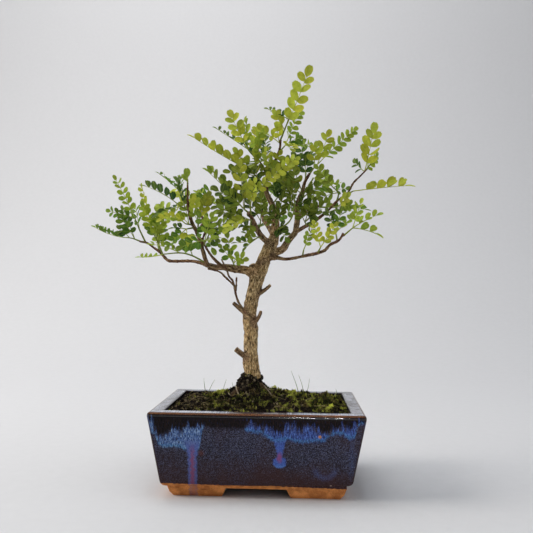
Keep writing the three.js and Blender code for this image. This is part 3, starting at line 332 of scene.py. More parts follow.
BLUE_FOOT = [
    (-260, 41), (-225, 36), (-190, 42), (-150, 33), (-120, 42), (-95, 35), (-75, 44), (-71, 44), (-67, 36),
    (-62, 34.3), (-52, 34.5), (-48, 32.2), (-39.5, 33), (-37.5, 42), (-35, 48.4), (-24, 48.4), (-9, 48),
    (-7, 46.4), (4, 45), (8, 42.3), (13, 39.6), (18.5, 40.2), (22, 40.8), (27, 39.5), (33, 39), (40, 40.2),
    (45, 39.9), (49, 43.1), (53.6, 45.3), (57.6, 45.4), (61.7, 43.4), (65, 42.4), (68, 46.3), (71, 53),
    (76, 46), (84, 40), (105, 34), (130, 43), (160, 36), (200, 44), (235, 35), (260, 41),
]
# How far round the two drips and the run near the right corner hang, and the places of marks on the front
LEFT_DRIP, BEAD_DRIP, CORNER_RUN = -43.6, 16.3, 65.3
RUST_STAIN, SWIRL, KILN_SPOT, CHIP = (-37.6, 30.7, 0), (47.4, 21.5, 0), (43.5, 43.7, 0), (51.4, 9, 0)
SWIRL_RADIUS, RIM_BROWN_MIDDLE = 6.6, 2.5

# Flow noises. The glaze ran downwards as it melted, so the noise that tears its edges is drawn out along
# the wall, and the eye reads streaks; the unstretched ones give it crawled cells, specks, pools and
# dimples.
flow_height = node(glaze, "Math MULTIPLY", [z, 0.16])
flow_at = node(glaze, "CombineXYZ", [around, flow_height])
feather_height = node(glaze, "Math MULTIPLY", [z, 0.24])
feather_at = node(glaze, "CombineXYZ", [around, feather_height])
wall_at = node(glaze, "CombineXYZ", [around, z])
runs = node(glaze, "TexNoise", {"Vector": flow_at, "Scale": 0.62, "Detail": 3, "Roughness": 0.6})
fine_runs = node(glaze, "TexNoise", {"Vector": flow_at, "Scale": 1.7, "Detail": 2})
feathers = node(glaze, "TexNoise", {"Vector": feather_at, "Scale": 1.5, "Detail": 3.5, "Roughness": 0.78})
crackle = node(glaze, "TexNoise", {"Vector": wall_at, "Scale": 1.9, "Detail": 2, "Roughness": 0.7})
soft = node(glaze, "TexNoise", {"Vector": wall_at, "Scale": 0.45, "Detail": 3})
flecks = node(glaze, "TexNoise", {"Vector": at_mm, "Scale": 1.25, "Detail": 2.5, "Roughness": 0.75})
fine_flecks = node(glaze, "TexNoise", {"Vector": at_mm, "Scale": 2.6, "Detail": 1.5})
patches = node(glaze, "TexNoise", {"Vector": at_mm, "Scale": 0.05, "Detail": 2})
pool = node(glaze, "TexNoise", {"Vector": at_mm, "Scale": 0.1, "Detail": 4, "Roughness": 0.65})
orange_peel = node(glaze, "TexNoise", {"Vector": at_mm, "Scale": 0.3, "Detail": 2})
pit_cells = node(glaze, "TexVoronoi", {"Vector": at_mm, "Scale": 0.2, "Randomness": 1})

# How far each noise shifts an edge either way, in millimetres
ragged, torn, wobble, sway, end_wave = (
    node(glaze, "MapRange", [grain, 0.3, 0.7, -most, most])
    for grain, most in ((runs, 5), (feathers, 3.4), (soft, 1.1), (soft, 0.8), (soft, 0.3))
)
z_ragged = node(glaze, "Math ADD", [z, ragged])
z_top = node(glaze, "Math ADD", [z_ragged, torn])
z_foot = node(glaze, "Math ADD", [z, wobble])
swaying = node(glaze, "Math ADD", [around, sway])
swaying_x = node(glaze, "Math ADD", [x, ragged])
from_rust, from_swirl, from_spot, from_chip = (
    node(glaze, "VectorMath DISTANCE", [wall_at, mark]) for mark in (RUST_STAIN, SWIRL, KILN_SPOT, CHIP)
)
offsets = [
    node(glaze, "Math SUBTRACT", [source, middle])
    for source, middle in (
        (swaying, LEFT_DRIP), (swaying, BEAD_DRIP), (swaying, CORNER_RUN), (from_swirl, SWIRL_RADIUS),
        (swaying_x, RIM_BROWN_MIDDLE), (past_corner, CORNER_AT),
    )
]
from_left_drip, from_bead_drip, from_corner_run, from_ring, from_brown, from_corner = (
    node(glaze, "Math ABSOLUTE", [offset]) for offset in offsets
)

# Where the blue lies: between its two height lines, which two float curves hold, and nowhere that they meet
edge_lines = []
for rows in (BLUE_TOP, BLUE_FOOT):
    curve = node(glaze, "FloatCurve", {"Value": around_share})
    line = curve.mapping.curves[0]
    for distance, height in rows[1:-1]:
        line.points.new((distance + HALF_ROUND) / (2 * HALF_ROUND), height / CURVE_TOP)
    line.points[0].location = (0, rows[0][1] / CURVE_TOP)
    line.points[-1].location = (1, rows[-1][1] / CURVE_TOP)
    curve.mapping.update()
    edge_lines.append(node(glaze, "Math MULTIPLY", [curve, CURVE_TOP]))
blue_top, blue_foot = edge_lines
over_foot = node(glaze, "Math SUBTRACT", [z_foot, blue_foot])
over_top = node(glaze, "Math SUBTRACT", [z_top, blue_top])
band_depth = node(glaze, "Math SUBTRACT", [blue_top, blue_foot])
above_foot = meet(glaze, (over_foot, -1.3, 1.5))
blue_band = meet(glaze, above_foot, (over_top, 1.6, -1.2), (band_depth, 0.4, 2))

# Two long drips on the front: one over the foot at the left, and one that stopped in a bead
left_half = node(glaze, "MapRange SMOOTHSTEP", [z, 26, 46, 3, 6.4])
past_left = node(glaze, "Math SUBTRACT", [from_left_drip, left_half])
left_drip = meet(glaze, (past_left, 0.8, -0.8), (z, 49.5, 46.5), on_front)
run_half = node(glaze, "MapRange SMOOTHSTEP", [z, 30, 42, 1.7, 4.2])
past_run = node(glaze, "Math SUBTRACT", [from_bead_drip, run_half])
bead_run = meet(glaze, (past_run, 0.7, -0.7), (z, 26.5, 28), (z, 45, 42))
bead_across = node(glaze, "Math DIVIDE", [from_bead_drip, 4.6])
bead_over = node(glaze, "Math SUBTRACT", [z, 25.2])
bead_up = node(glaze, "Math DIVIDE", [bead_over, 3.9])
bead_at = node(glaze, "CombineXYZ", [bead_across, bead_up])
from_bead = node(glaze, "VectorMath LENGTH", [bead_at])
bead = meet(glaze, (from_bead, 1.15, 0.85))
bead_shape = node(glaze, "Math MAXIMUM", [bead_run, bead])
bead_drip = node(glaze, "Math MULTIPLY", [bead_shape, on_front])
drips = node(glaze, "Math MAXIMUM", [left_drip, bead_drip])
poured = node(glaze, "Math MAXIMUM", [blue_band, drips])

# The dark under glaze. Fine navy and grey specks in iron brown give it depth, browner and plainer low down,
# with pores, a rust stain, a pale swirl and a blue run near the right corner.
low_down = meet(glaze, (z, 34, 6))
patchy = node(glaze, "MapRange", [patches, 0.3, 0.7, -0.3, 0.4])
brown_share = node(glaze, "Math ADD", [low_down, patchy], use_clamp=True)
clear_share = node(glaze, "Math SUBTRACT", [1, brown_share])
fleck_part = node(glaze, "MapRange", [clear_share, 0, 1, 0.12, 0.75])
spark_part = node(glaze, "MapRange", [clear_share, 0, 1, 0.2, 0.6])
ground = lay_on(glaze, "#1b171e", [
    ("#3a2422", brown_share),
    ("#505473", (flecks, 0.47, 0.62), fleck_part),
    ("#7d7e96", (fine_flecks, 0.56, 0.68), spark_part),
    ("#120d10", (fine_flecks, 0.46, 0.36, 0, 0.6)),
    ("#5a2c18", (from_rust, 3.2, 0.4, 0, 0.5)),
    ("#4c5f93", (from_ring, 3.4, 0.2), (z, 24, 17.5), (crackle, 0.42, 0.66, 0, 0.75)),
    ("#4a5680", (from_corner_run, 2.6, 0.2), (z, 12, 22, 0, 0.5), (feathers, 0.42, 0.6)),
])

# The coat below the rim: where the blue ran off, thin glaze left a nearly black brown with faint streaks
coat_offset = node(glaze, "Math SUBTRACT", [z_foot, blue_top])
past_blue = meet(glaze, (coat_offset, -2, 2.5))
by_rim = meet(glaze, (z, 52.5, 54.5))
coat_share = node(glaze, "Math MAXIMUM", [past_blue, by_rim])
coat = lay_on(glaze, "#070507", [
    ("#1f1311", (fine_runs, 0.42, 0.66)),
    ("#2b2f5e", (feathers, 0.55, 0.72, 0, 0.5)),
])

# The poured blue: milky light blue at the left, deeper at the right, feathered by fine vertical strokes of
# the dark under glaze, and paler and greener where it thins to its lower edge
milky = meet(glaze, (around, 0, -40))
blue_deep, blue_light, blue_pale = (
    node(glaze, "MixRGB", [milky, right, left])
    for right, left in (("#2a3a78", "#385692"), ("#6080c8", "#9ab6d2"), ("#7aa0e0", "#bcd4d8"))
)
thin_broken = meet(glaze, (crackle, 0.38, 0.6, 0, 0.7))
blue = lay_on(glaze, blue_deep, [
    (blue_light, (feathers, 0.5, 0.64, 0, 0.85)),
    (blue_pale, (crackle, 0.54, 0.68, 0, 0.5)),
    ("#100f24", (feathers, 0.49, 0.4, 0, 0.92)),
    ("#4682ae", (over_foot, 3.6, 0.9), above_foot, thin_broken),
])

# The drips carry the blue down and turn plum in their thick middle, which is what makes them look deep
left_core = meet(glaze, (from_left_drip, 2.8, 0.6))
left_glow = node(glaze, "MixRGB", [left_core, "#7d94c4", "#927fa6"])
glow_share = meet(glaze, (crackle, 0.5, 0.66, 0, 0.55))
drip_gap = meet(glaze, (feathers, 0.46, 0.34, 0, 0.6))
joins_blue = meet(glaze, (z, 34, 43))
left_tone = lay_on(glaze, "#4a5795", [
    ("#62507c", left_core, (z, 42, 24)),
    (left_glow, glow_share),
    ("#8a4462", (from_left_drip, 1.5, 0.3), (z, 38, 22, 0, 0.7)),
    ("#232452", drip_gap),
    (blue, joins_blue),
])
left_part = node(glaze, "MapRange", [z, 10, 30, 0.72, 1])
heart_over = node(glaze, "Math SUBTRACT", [z, 28.6])
heart_up = node(glaze, "Math MULTIPLY", [heart_over, 0.5])
heart_at = node(glaze, "CombineXYZ", [from_bead_drip, heart_up])
from_heart = node(glaze, "VectorMath LENGTH", [heart_at])
heart = meet(glaze, (from_heart, 2.7, 0.4, 0, 0.9), (crackle, 0.3, 0.55, 0.45, 1))
bead_glow = node(glaze, "MixRGB", [heart, "#6a92cf", "#a0566a"])
bead_tone = lay_on(glaze, "#3b4f98", [
    ("#84405f", heart),
    (bead_glow, glow_share),
    ("#5e8fd0", (z, 25, 21.5), thin_broken),
    ("#232452", drip_gap),
    (blue, joins_blue),
])

# The rim: glaze that pooled milky and grey on the flat, brown in the middle of the front, pitted at the
# right, and broke to a thin line of rust along the arris and down the corners
to_side = node(glaze, "Math SUBTRACT", [POT_LENGTH * 500, wide])
to_front = node(glaze, "Math SUBTRACT", [POT_WIDTH * 500, deep])
edge_gap = node(glaze, "Math MINIMUM", [to_side, to_front])
rim_flat = meet(glaze, (edge_gap, 1.2, 2.2), (z, 57.5, 58.2))
strip_tone = lay_on(glaze, "#6f7488", [("#cdd3e0", (crackle, 0.35, 0.6))])
pits = meet(glaze, (pit_cells, 0.32, 0.2), (x, 56, 64))
rim_tone = lay_on(glaze, "#44444e", [
    ("#9a9da9", (pool, 0.43, 0.57)),
    ("#c3c6d0", (fine_flecks, 0.52, 0.66, 0, 0.6)),
    ("#221f26", (flecks, 0.47, 0.38, 0, 0.9)),
    ("#3b3238", (pool, 0.44, 0.32, 0, 0.75)),
    (strip_tone, (y, -44.5, -47, 0, 0.7)),
    ("#35221c", (from_brown, 25, 18, 0, 0.92), (y, -35, -45)),
    # Painted shade along the rim's inner edge
    ("#221a17", (edge_gap, 8.6, 9.5, 0, 0.8)),
    ("#141018", pits),
])
arris_tone = lay_on(glaze, "#3a2117", [("#8a5a38", (crackle, 0.4, 0.62))])
skin = lay_on(glaze, ground, [
    (coat, coat_share),
    (blue, blue_band, (feathers, 0.34, 0.5, 0.2, 1)),
    (left_tone, left_drip, left_part),
    (bead_tone, bead_drip),
    ("#b87a3e", (from_spot, 1.5, 0.5, 0, 0.85)),
    ("#b09a90", (from_chip, 1, 0.4)),
    (rim_tone, rim_flat),
    (arris_tone, (z, 57.1, 57.7), (edge_gap, 2.3, 1.5, 0, 0.9)),
    ("#35201a", (from_corner, 2.2, 0.6, 0, 0.65)),
])

# The bare foot: warm iron-red stoneware, darker in slip lines and grog, and nearly black with painted shade
# in the hollow
end_tilt = node(glaze, "Math MULTIPLY", [x, math.tan(WALL_END_TILT)])
foot_edge = node(glaze, "Math ADD", [z, end_wave])
foot_edge = node(glaze, "Math ADD", [foot_edge, end_tilt])
over_edge = meet(glaze, (foot_edge, 7.3, 7.7))
drip_over = node(glaze, "Math MULTIPLY", [left_drip, 0.4])
glazed = node(glaze, "Math MAXIMUM", [over_edge, drip_over])
clay_cloud = node(glaze, "TexNoise", {"Vector": at_mm, "Scale": 0.16, "Detail": 4})
clay_grit = node(glaze, "TexNoise", {"Vector": at_mm, "Scale": 2.4, "Detail": 2})
slip_around = node(glaze, "Math MULTIPLY", [around, 0.13])
slip_at = node(glaze, "CombineXYZ", [slip_around, z])
slip_lines = node(glaze, "TexNoise", {"Vector": slip_at, "Scale": 0.9, "Detail": 3})
in_side = node(glaze, "Math SUBTRACT", [57, wide])
in_front = node(glaze, "Math SUBTRACT", [38.5, deep])
inward = node(glaze, "Math MINIMUM", [in_side, in_front])
clay = lay_on(glaze, "#e09454", [
    ("#b06c3a", (clay_cloud, 0.35, 0.65)),
    ("#d89a62", (clay_grit, 0.55, 0.7, 0, 0.4)),
    ("#6b3f1e", (clay_grit, 0.42, 0.32, 0, 0.6)),
    ("#5c361d", (slip_lines, 0.58, 0.66, 0, 0.3)),
    # Painted shade: the clay inside the skirt, in the hollow under the pot, is painted nearly black
    ("#0b0705", (inward, 0.2, 1.2, 0, 0.97)),
])
pot_face = node(glaze, "MixRGB", [glazed, clay, skin])

# Thick glaze stands proud where it was poured, dimples like orange peel and sinks in its pits, so that
# highlights break up on it, while the clay stays matt
pit_depth = node(glaze, "Math MULTIPLY", [pits, rim_flat])
lift = 0
proud = ((poured, 0.5), (orange_peel, 0.8), (fine_flecks, 0.12), (glazed, 0.4), (pit_depth, -1))
for source, height in proud:
    lift = node(glaze, "Math MULTIPLY_ADD", [source, height, lift])
relief = node(glaze, "Bump", {"Height": lift, "Strength": 0.5, "Distance": 0.0006})
on_lip = meet(glaze, (z, 55.6, 56.1), (z, 57.4, 56.8))
sheen = node(glaze, "MapRange", [glazed, 0, 1, 0.85, 0.09])
sheen = node(glaze, "MapRange", [on_lip, 0, 1, sheen, 0.05])
gloss = node(glaze, "MapRange", [rim_flat, 0, 1, 0.11, 0.3])
gloss = node(glaze, "MapRange", [on_lip, 0, 1, gloss, 0.7])
glaze_look = {"Base Color": pot_face, "Roughness": sheen, "Normal": relief, "Specular IOR Level": gloss}
glaze_shade = node(glaze, "BsdfPrincipled", glaze_look)
node(glaze, "OutputMaterial", [glaze_shade])
pot.data.materials.clear()
pot.data.materials.append(glaze)
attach(pot, "root")
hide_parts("pot")


def mottled(name, scale, detail, dark, pale, start, full, roughness, gloss, relief=None):
    """A plain material whose two tones one noise mixes. Relief is its strength and depth as a bump."""
    made = new_material(name)
    place_at = node(made, "TexCoord").outputs["Object"]
    grain = node(made, "TexNoise", {"Vector": place_at, "Scale": scale, "Detail": detail})
    tone = lay_on(made, dark, [(pale, (grain, start, full))], ease="LINEAR")
    look = {"Base Color": tone, "Roughness": roughness, "Specular IOR Level": gloss}
    if relief:
        look["Normal"] = node(made, "Bump", {"Height": grain, "Strength": relief[0], "Distance": relief[1]})
    shade = node(made, "BsdfPrincipled", look)
    node(made, "OutputMaterial", [shade])
    return made


# The drain meshes. Squares of black plastic screen over the two drain holes, which keep the soil in; they
# show only from below, so the solids stay and take a moulded plastic finish.
screen = mottled("black_moulded_screen", 2500, 2, "#161616", "#2a2a29", 0, 1, 0.55, 0.5, relief=(0.3, 0.0001))
for name in ("drain_mesh_left", "drain_mesh_right"):
    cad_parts[name].data.materials.clear()
    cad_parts[name].data.materials.append(screen)

# The soil. Dark peaty compost pressed to 2 mm under the rim and heaped over the root ball, with crumbs of
# grit and bark lying loose on it. It fills the pot down to the drain screens.
SOIL_HALF_LENGTH, SOIL_HALF_WIDTH = 64.7, 45
SHOULDER, BED, BED_HALF_LENGTH = 53.5, 18.2, 59.8
GRID_STEP = 0.8
MOUND_X = -9


def in_pot(x, y, z):
    """Millimetres in the pot as metres in the object's frame."""
    return Vector((POT_X + x / 1000, POT_Y + y / 1000, z / 1000))


def ramp(value, start, full):
    """A share that grows evenly from 0 at the start to 1 where it is full."""
    return min(max((value - start) / (full - start), 0), 1)


def ripple(x, y, scale, layer):
    """Smooth noise of about minus 1 to 1, with a pattern of its own in each layer."""
    return noise.noise(Vector((x * scale, y * scale, layer)))


def soil_height(x, y):
    """The height of the soil in millimetres: a low crown, the mound over the root ball, and long waves."""
    crown = 5 * max(1 - (x / 63) ** 2, 0) * max(1 - (y / 43) ** 2, 0)
    away = ((x - MOUND_X) * (1.3 if x < MOUND_X else 1)) ** 2 + y * y
    mound = 9 * math.exp(-((away / 118) ** 3)) + 8 * math.exp(-away / 400)
    waves = 0.7 * math.sin(0.41 * x + 1.3 * math.sin(0.23 * y)) + 0.6 * math.sin(0.47 * y + 0.19 * x + 1)
    return 58 + crown + mound + waves


def rough_height(x, y):
    """The same with the clods and hollows of loose compost, rougher on the root ball."""
    on_mound = math.exp(-((x - MOUND_X) ** 2 + y * y) / 320)
    clods = ripple(x, y, 0.16, 3.1) * 1.5 + ripple(x, y, 0.42, 8.4) * 0.9
    grit = ripple(x, y, 0.9, 1.7) * 1.1
    hummock = max(ripple(x, y, 0.11, 6.6) - 0.02, 0) * 6.5 * ramp(x, -42, -28)
    brim = 1.5 * max(0, 1 - (SOIL_HALF_WIDTH + y) / 9) * ramp(x, -30, -18)
    edge = min(1, (SOIL_HALF_LENGTH - abs(x)) / 4 + 0.25, (SOIL_HALF_WIDTH - abs(y)) / 4 + 0.25)
    return soil_height(x, y) + brim + ((clods + grit) * (1 + 0.7 * on_mound) + hummock - 0.4) * edge


columns, rows = (round(2 * half / GRID_STEP) for half in (SOIL_HALF_LENGTH, SOIL_HALF_WIDTH))
bpy.ops.object.select_all(action="DESELECT")
bpy.ops.mesh.primitive_grid_add(x_subdivisions=columns, y_subdivisions=rows, size=2, location=(0, 0, 0))
soil = bpy.context.object
soil.name = "compost"
for vert in soil.data.vertices:
    across, along = vert.co.x * SOIL_HALF_LENGTH, vert.co.y * SOIL_HALF_WIDTH
    vert.co = in_pot(across, along, rough_height(across, along))
shape = bmesh.new()
shape.from_mesh(soil.data)
border = [edge for edge in shape.edges if edge.is_boundary]
for level, share in ((SHOULDER, 1), (BED, BED_HALF_LENGTH / SOIL_HALF_LENGTH)):
    grown = bmesh.ops.extrude_edge_only(shape, edges=border)["geom"]
    for vert in (part for part in grown if isinstance(part, bmesh.types.BMVert)):
        vert.co.x = POT_X + (vert.co.x - POT_X) * share
        vert.co.y = POT_Y + (vert.co.y - POT_Y) * share
        vert.co.z = level / 1000
    border = [part for part in grown if isinstance(part, bmesh.types.BMEdge)]
bmesh.ops.contextual_create(shape, geom=border)
bmesh.ops.recalc_face_normals(shape, faces=shape.faces)
shape.to_mesh(soil.data)
shape.free()
for face in soil.data.polygons:
    face.use_smooth = True

# Nearly black where it is damp and deep, with brown fibres and pale grit; each crumb has its own tone
compost = new_material("damp_peat_compost")
peat_at = node(compost, "TexCoord").outputs["Object"]
peat_clods = node(compost, "TexNoise", {"Vector": peat_at, "Scale": 420, "Detail": 6, "Roughness": 0.7})
peat_grit = node(compost, "TexNoise", {"Vector": peat_at, "Scale": 1500, "Detail": 3})
crumb_share = node(compost, "Attribute", attribute_name="crumb").outputs["Fac"]
peat_tone = lay_on(compost, "#030202", [
    ("#18120d", (peat_clods, 0.38, 0.66)),
    ("#4c3b28", (peat_grit, 0.58, 0.7, 0, 0.7)),
    ("#98896f", crumb_share),
], ease="LINEAR")
peat_relief = node(compost, "Bump", {"Height": peat_grit, "Strength": 0.8, "Distance": 0.0008})
peat_look = {"Base Color": peat_tone, "Roughness": 0.92, "Normal": peat_relief, "Specular IOR Level": 0.08}
peat_shade = node(compost, "BsdfPrincipled", peat_look)
node(compost, "OutputMaterial", [peat_shade])
soil.data.materials.append(compost)
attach(soil, "root")
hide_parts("soil")


def mesh_piece(name, points, faces, material, smooth=True):
    """An object from lists of points in metres and of faces."""
    mesh = bpy.data.meshes.new(name)
    mesh.from_pydata(points, [], faces)
    mesh.polygons.foreach_set("use_smooth", [smooth] * len(mesh.polygons))
    mesh.update()
    mesh.materials.append(material)
    return place(name, mesh)


def mark(piece, **lists):
    """Stores numbers of the points under a name, for a material to read."""
    for name, values in lists.items():
        piece.data.attributes.new(name, "FLOAT", "POINT").data.foreach_set("value", values)


# The crumbs. Loose bits of peat and grit, some of them dried pale, that lie on the compost: fine ones all
# over, sparser away from the bare left end, and larger ones on the root ball.
CRUMBS, MOUND_CRUMBS = 2100, 1000
CRUMB_STRETCH = ((0.6, 1.5), (0.6, 1.2), (0.4, 0.9))
INSIDE_X, INSIDE_Y = 63.5, 44
BARE_END = -36
chance = random.Random(11)
bpy.ops.mesh.primitive_ico_sphere_add(subdivisions=1, radius=1)
pebble = bpy.context.object
pebble_points = [v.co.copy() for v in pebble.data.vertices]
pebble_faces = [tuple(p.vertices) for p in pebble.data.polygons]
bpy.data.objects.remove(pebble)
points, faces, crumb_tones = [], [], []
for number in range(CRUMBS + MOUND_CRUMBS):
    fine = number < CRUMBS
    if fine:
        across = chance.uniform(-INSIDE_X, INSIDE_X)
        along = chance.uniform(-43.5, 43.5)
        if across > BARE_END and chance.random() < 0.5:
            continue
        size = chance.uniform(0.35, 1.1) * chance.choice((0.7, 1, 1.3))
    else:
        far, bearing = abs(chance.gauss(0, 8.5)), chance.uniform(0, math.tau)
        across, along = MOUND_X + far * math.cos(bearing), far * math.sin(bearing)
        size = chance.uniform(0.5, 1.9)
    middle = in_pot(across, along, rough_height(across, along) + size * 0.25)
    tumble = Quaternion([chance.gauss(0, 1) for _ in range(4)]).normalized()
    stretch = Vector([chance.uniform(*limits) for limits in CRUMB_STRETCH]) * size / 1000
    start = len(points)
    for p in pebble_points:
        points.append(middle + tumble @ (p * stretch * chance.uniform(0.75, 1.2)))
    crumb_tones += [min(chance.random() ** 8 * (1.3 if fine else 0.6), 1)] * len(pebble_points)
    faces += [tuple(start + i for i in f) for f in pebble_faces]
crumbs = mesh_piece("compost_crumbs", points, faces, compost, smooth=False)
mark(crumbs, crumb=crumb_tones)
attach(crumbs, "root")

# The dry litter. Shed leaf stalks and straws, thin and a little bowed, 2.5 to 9 mm long, that lie loose on
# the soil, closest together at its bare left end.
STRAWS, BARE_END_STRAWS = 330, 150
litter = mottled("dry_straw_litter", 900, 3, "#4f4128", "#a3936a", 0.35, 0.65, 0.75, 0.15)


def ways_along(line):
    """Each point of a line with the way ahead and two ways square to it, which turn as little as they can."""
    side = Vector((0.31, 0.95, 0.05))
    for i, at in enumerate(line):
        ahead = (line[min(i + 1, len(line) - 1)] - line[max(i - 1, 0)]).normalized()
        side = (side - ahead * side.dot(ahead)).normalized()
        yield at, ahead, side, ahead.cross(side)


def add_tube(points, faces, line, radii, sides):
    """Adds rings of points round a line, joined by faces and closed at both ends."""
    first = len(points)
    for (at, _, side, square), radius in zip(ways_along(line), radii):
        for k in range(sides):
            angle = math.tau * k / sides
            points.append(at + (side * math.cos(angle) + square * math.sin(angle)) * radius)
    last = len(points) - sides
    for a in range(first, last, sides):
        b = a + sides
        faces += [(a + k, a + (k + 1) % sides, b + (k + 1) % sides, b + k) for k in range(sides)]
    faces.append(tuple(range(first + sides - 1, first - 1, -1)))
    faces.append(tuple(range(last, last + sides)))


def smooth_line(rows, step, rise=1.5):
    """Points every step along a curve through rows of place and radius, raised, and the radii there."""
    line, radii = [], []
    last = len(rows) - 1
    for i in range(last):
        before, a, b, after = (Vector(rows[min(max(j, 0), last)]) for j in (i - 1, i, i + 1, i + 2))
        count = max(1, math.ceil((b.xyz - a.xyz).length / step))
        for k in range(count + (i == last - 1)):
            t = k / count
            at = 2 * a + (b - before) * t + (2 * before - 5 * a + 4 * b - after) * t * t
            at = 0.5 * (at + (3 * (a - b) + after - before) * t**3)
            line.append(in_pot(at.x, at.y, at.z + rise))
            radii.append((a.w + (b.w - a.w) * t) / 1000)
    return line, radii


points, faces = [], []
for number in range(STRAWS):
    bare_end = number < BARE_END_STRAWS
    across = chance.uniform(-62, -30) if bare_end else chance.uniform(-40, 62)
    along = chance.uniform(-42, 40) if bare_end else chance.uniform(-43, 28)
    bearing = chance.uniform(0, math.tau)
    long = chance.uniform(2.5, 9)
    lift = chance.uniform(0.2, 1.1)
    rows = []
    for share in (-0.5, 0, 0.5):
        x = across + math.cos(bearing) * long * share
        y = along + math.sin(bearing) * long * share + (0.8 * (0.25 - share * share))
        if abs(x) > INSIDE_X or abs(y) > INSIDE_Y:
            break
        rows.append((x, y, rough_height(x, y) + lift * (0.7 if share else 1.6), chance.uniform(0.06, 0.16)))
    if len(rows) == 3:
        add_tube(points, faces, *smooth_line(rows, 2, 0), 4)
straws = mesh_piece("dry_litter", points, faces, litter)
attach(straws, "root")

# The moss. Low feathery cushions and a thin carpet of separate shoots, dark olive with yellow-green young
# tips. Each shoot is a rosette of narrow leaves, about 2 mm long, growing where the photograph shows green.
MOSS_PATCHES = {
    "moss_left": (-34, 8, 12, 9), "moss_middle": (26, 13, 15, 10), "moss_right": (46, -19, 12, 12),
}
CUSHION_LIFT = 1.9
# Where the moss is painted brighter, young growth with painted highlights, as a place in the pot and a reach
BRIGHT_SPOTS = [
    (-32, 10, 7), (-34, 32, 5), (10, 19, 5), (18, 32, 6), (27, 17, 5), (45, -6, 6), (49, -38, 4), (60, 8, 4),
    (61, -26, 3), (-29, -3, 3), (24, -6, 2.5), (30, -18, 2.5), (15, -20, 2), (45, -30, 2.5),
]
SHOOT_TRIES = 7600
UPRIGHT_BLADES, SPREAD_BLADES = 3, 5
BLADE_HALF_WIDTH = 0.0003


def depth_inside(patch, x, y):
    """1 in the middle of a cushion, 0 along its edge and minus outside it."""
    middle_x, middle_y, half_length, half_width = patch
    return 1 - ((x - middle_x) / half_length) ** 2 - ((y - middle_y) / half_width) ** 2


def moss_lift(x, y):
    """How far the cushions stand over the soil, in millimetres."""
    return max(0, *(CUSHION_LIFT * depth_inside(patch, x, y) for patch in MOSS_PATCHES.values()))


chance = random.Random(23)
shoots = {name: [] for name in (*MOSS_PATCHES, "moss_carpet")}
for _ in range(SHOOT_TRIES):
    across, along = chance.uniform(-INSIDE_X, INSIDE_X), chance.uniform(-INSIDE_Y, INSIDE_Y)
    lift = moss_lift(across, along)
    cover = 0.5 + 0.6 * ripple(across, along, 0.07, 5.5) + 0.9 * ripple(across, along, 0.26, 1.4)
    cover *= max(ramp(across, -44, -32), 0.06)
    cover *= 1 - 0.85 * math.exp(-((across - MOUND_X) ** 2 + along * along) / 150)
    if lift <= 0 and chance.random() > cover:
        continue
    young_growth_and_highlight = 0
    for x, y, reach in BRIGHT_SPOTS:
        young_growth_and_highlight = max(young_growth_and_highlight, math.exp(-((across - x) ** 2 + (along - y) ** 2) / (reach * reach)))
    # Lushness: chance, duller old moss at the left, and the bright spots, which are partly painted highlights
    lush = -0.04 + 0.0035 * min(across, 0) + 0.85 * young_growth_and_highlight + 1.3 * ripple(across, along, 0.24, 2.2)
    lush += chance.uniform(-0.2, 0.3)
    home = "moss_carpet"
    for name, patch in MOSS_PATCHES.items():
        if depth_inside(patch, across, along) > 0:
            home = name
    shoots[home].append((across, along, rough_height(across, along) + lift, min(max(lush, 0), 1), young_growth_and_highlight))

moss = new_material("feathery_moss")
lush_share = node(moss, "Attribute", attribute_name="lush").outputs["Fac"]
tip_share = node(moss, "Attribute", attribute_name="tip").outputs["Fac"]
moss_at = node(moss, "TexCoord").outputs["Object"]
moss_drift = node(moss, "TexNoise", {"Vector": moss_at, "Scale": 160, "Detail": 3})
# Each blade's foot: dark old growth, painted nearly black as painted shade between the shoots
moss_dark_foot_and_shade = lay_on(moss, "#030402", [("#181f09", lush_share)])
# The tips' yellow-green rises with lushness, and with it the painted highlights of the bright spots
moss_high = lay_on(moss, "#34371a", [
    ("#f0f66a", lush_share),
    ("#806a42", (moss_drift, 0.5, 0.66, 0, 0.75)),
], ease="LINEAR")
moss_tone = lay_on(moss, moss_dark_foot_and_shade, [(moss_high, tip_share)])
moss_look = {"Base Color": moss_tone, "Roughness": 0.7, "Specular IOR Level": 0.1}
moss_shade = node(moss, "BsdfPrincipled", moss_look)
node(moss, "OutputMaterial", [moss_shade])

for name, places in shoots.items():
    points, faces, tips, lushes = [], [], [], []
    for across, along, height, lush, young_growth_and_highlight in places:
        root = in_pot(across, along, height - 0.3)
        lean = Vector((chance.gauss(0, 0.3), chance.gauss(0, 0.3), 1)).normalized()
        spin = chance.uniform(0, math.tau)
        size = chance.uniform(0.8, 1.2) * (1 + 0.25 * young_growth_and_highlight)
        for blade in range(UPRIGHT_BLADES + SPREAD_BLADES):
            if blade < UPRIGHT_BLADES:
                whorl, tilts, lengths = UPRIGHT_BLADES, (8, 28), (1.7, 3)
            else:
                whorl, tilts, lengths = SPREAD_BLADES, (42, 80), (1.4, 2.5)
            bearing = spin + math.tau * blade / whorl + chance.uniform(-0.3, 0.3)
            tilt = math.radians(chance.uniform(*tilts))
            out = math.sin(tilt)
            way = Vector((math.cos(bearing) * out, math.sin(bearing) * out, math.cos(tilt)))
            way = (way + lean * 0.5).normalized()
            flat = way.cross(Vector((0, 0, 1))).normalized() * (BLADE_HALF_WIDTH * size)
            long = size * chance.uniform(*lengths) / 1000
            sag = Vector((0, 0, -0.12 * long))
            belly = root + way * long * 0.45
            start = len(points)
            points += [root, belly + flat, root + way * long + sag, belly - flat]
            faces.append((start, start + 1, start + 2, start + 3))
            tips += [0, 0.7, 1, 0.7]
            lushes += [lush] * 4
    patch = mesh_piece(name + "_shoots", points, faces, moss, smooth=False)
    mark(patch, lush=lushes, tip=tips)
    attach(patch, "root")
    if name in MOSS_PATCHES:
        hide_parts(name)

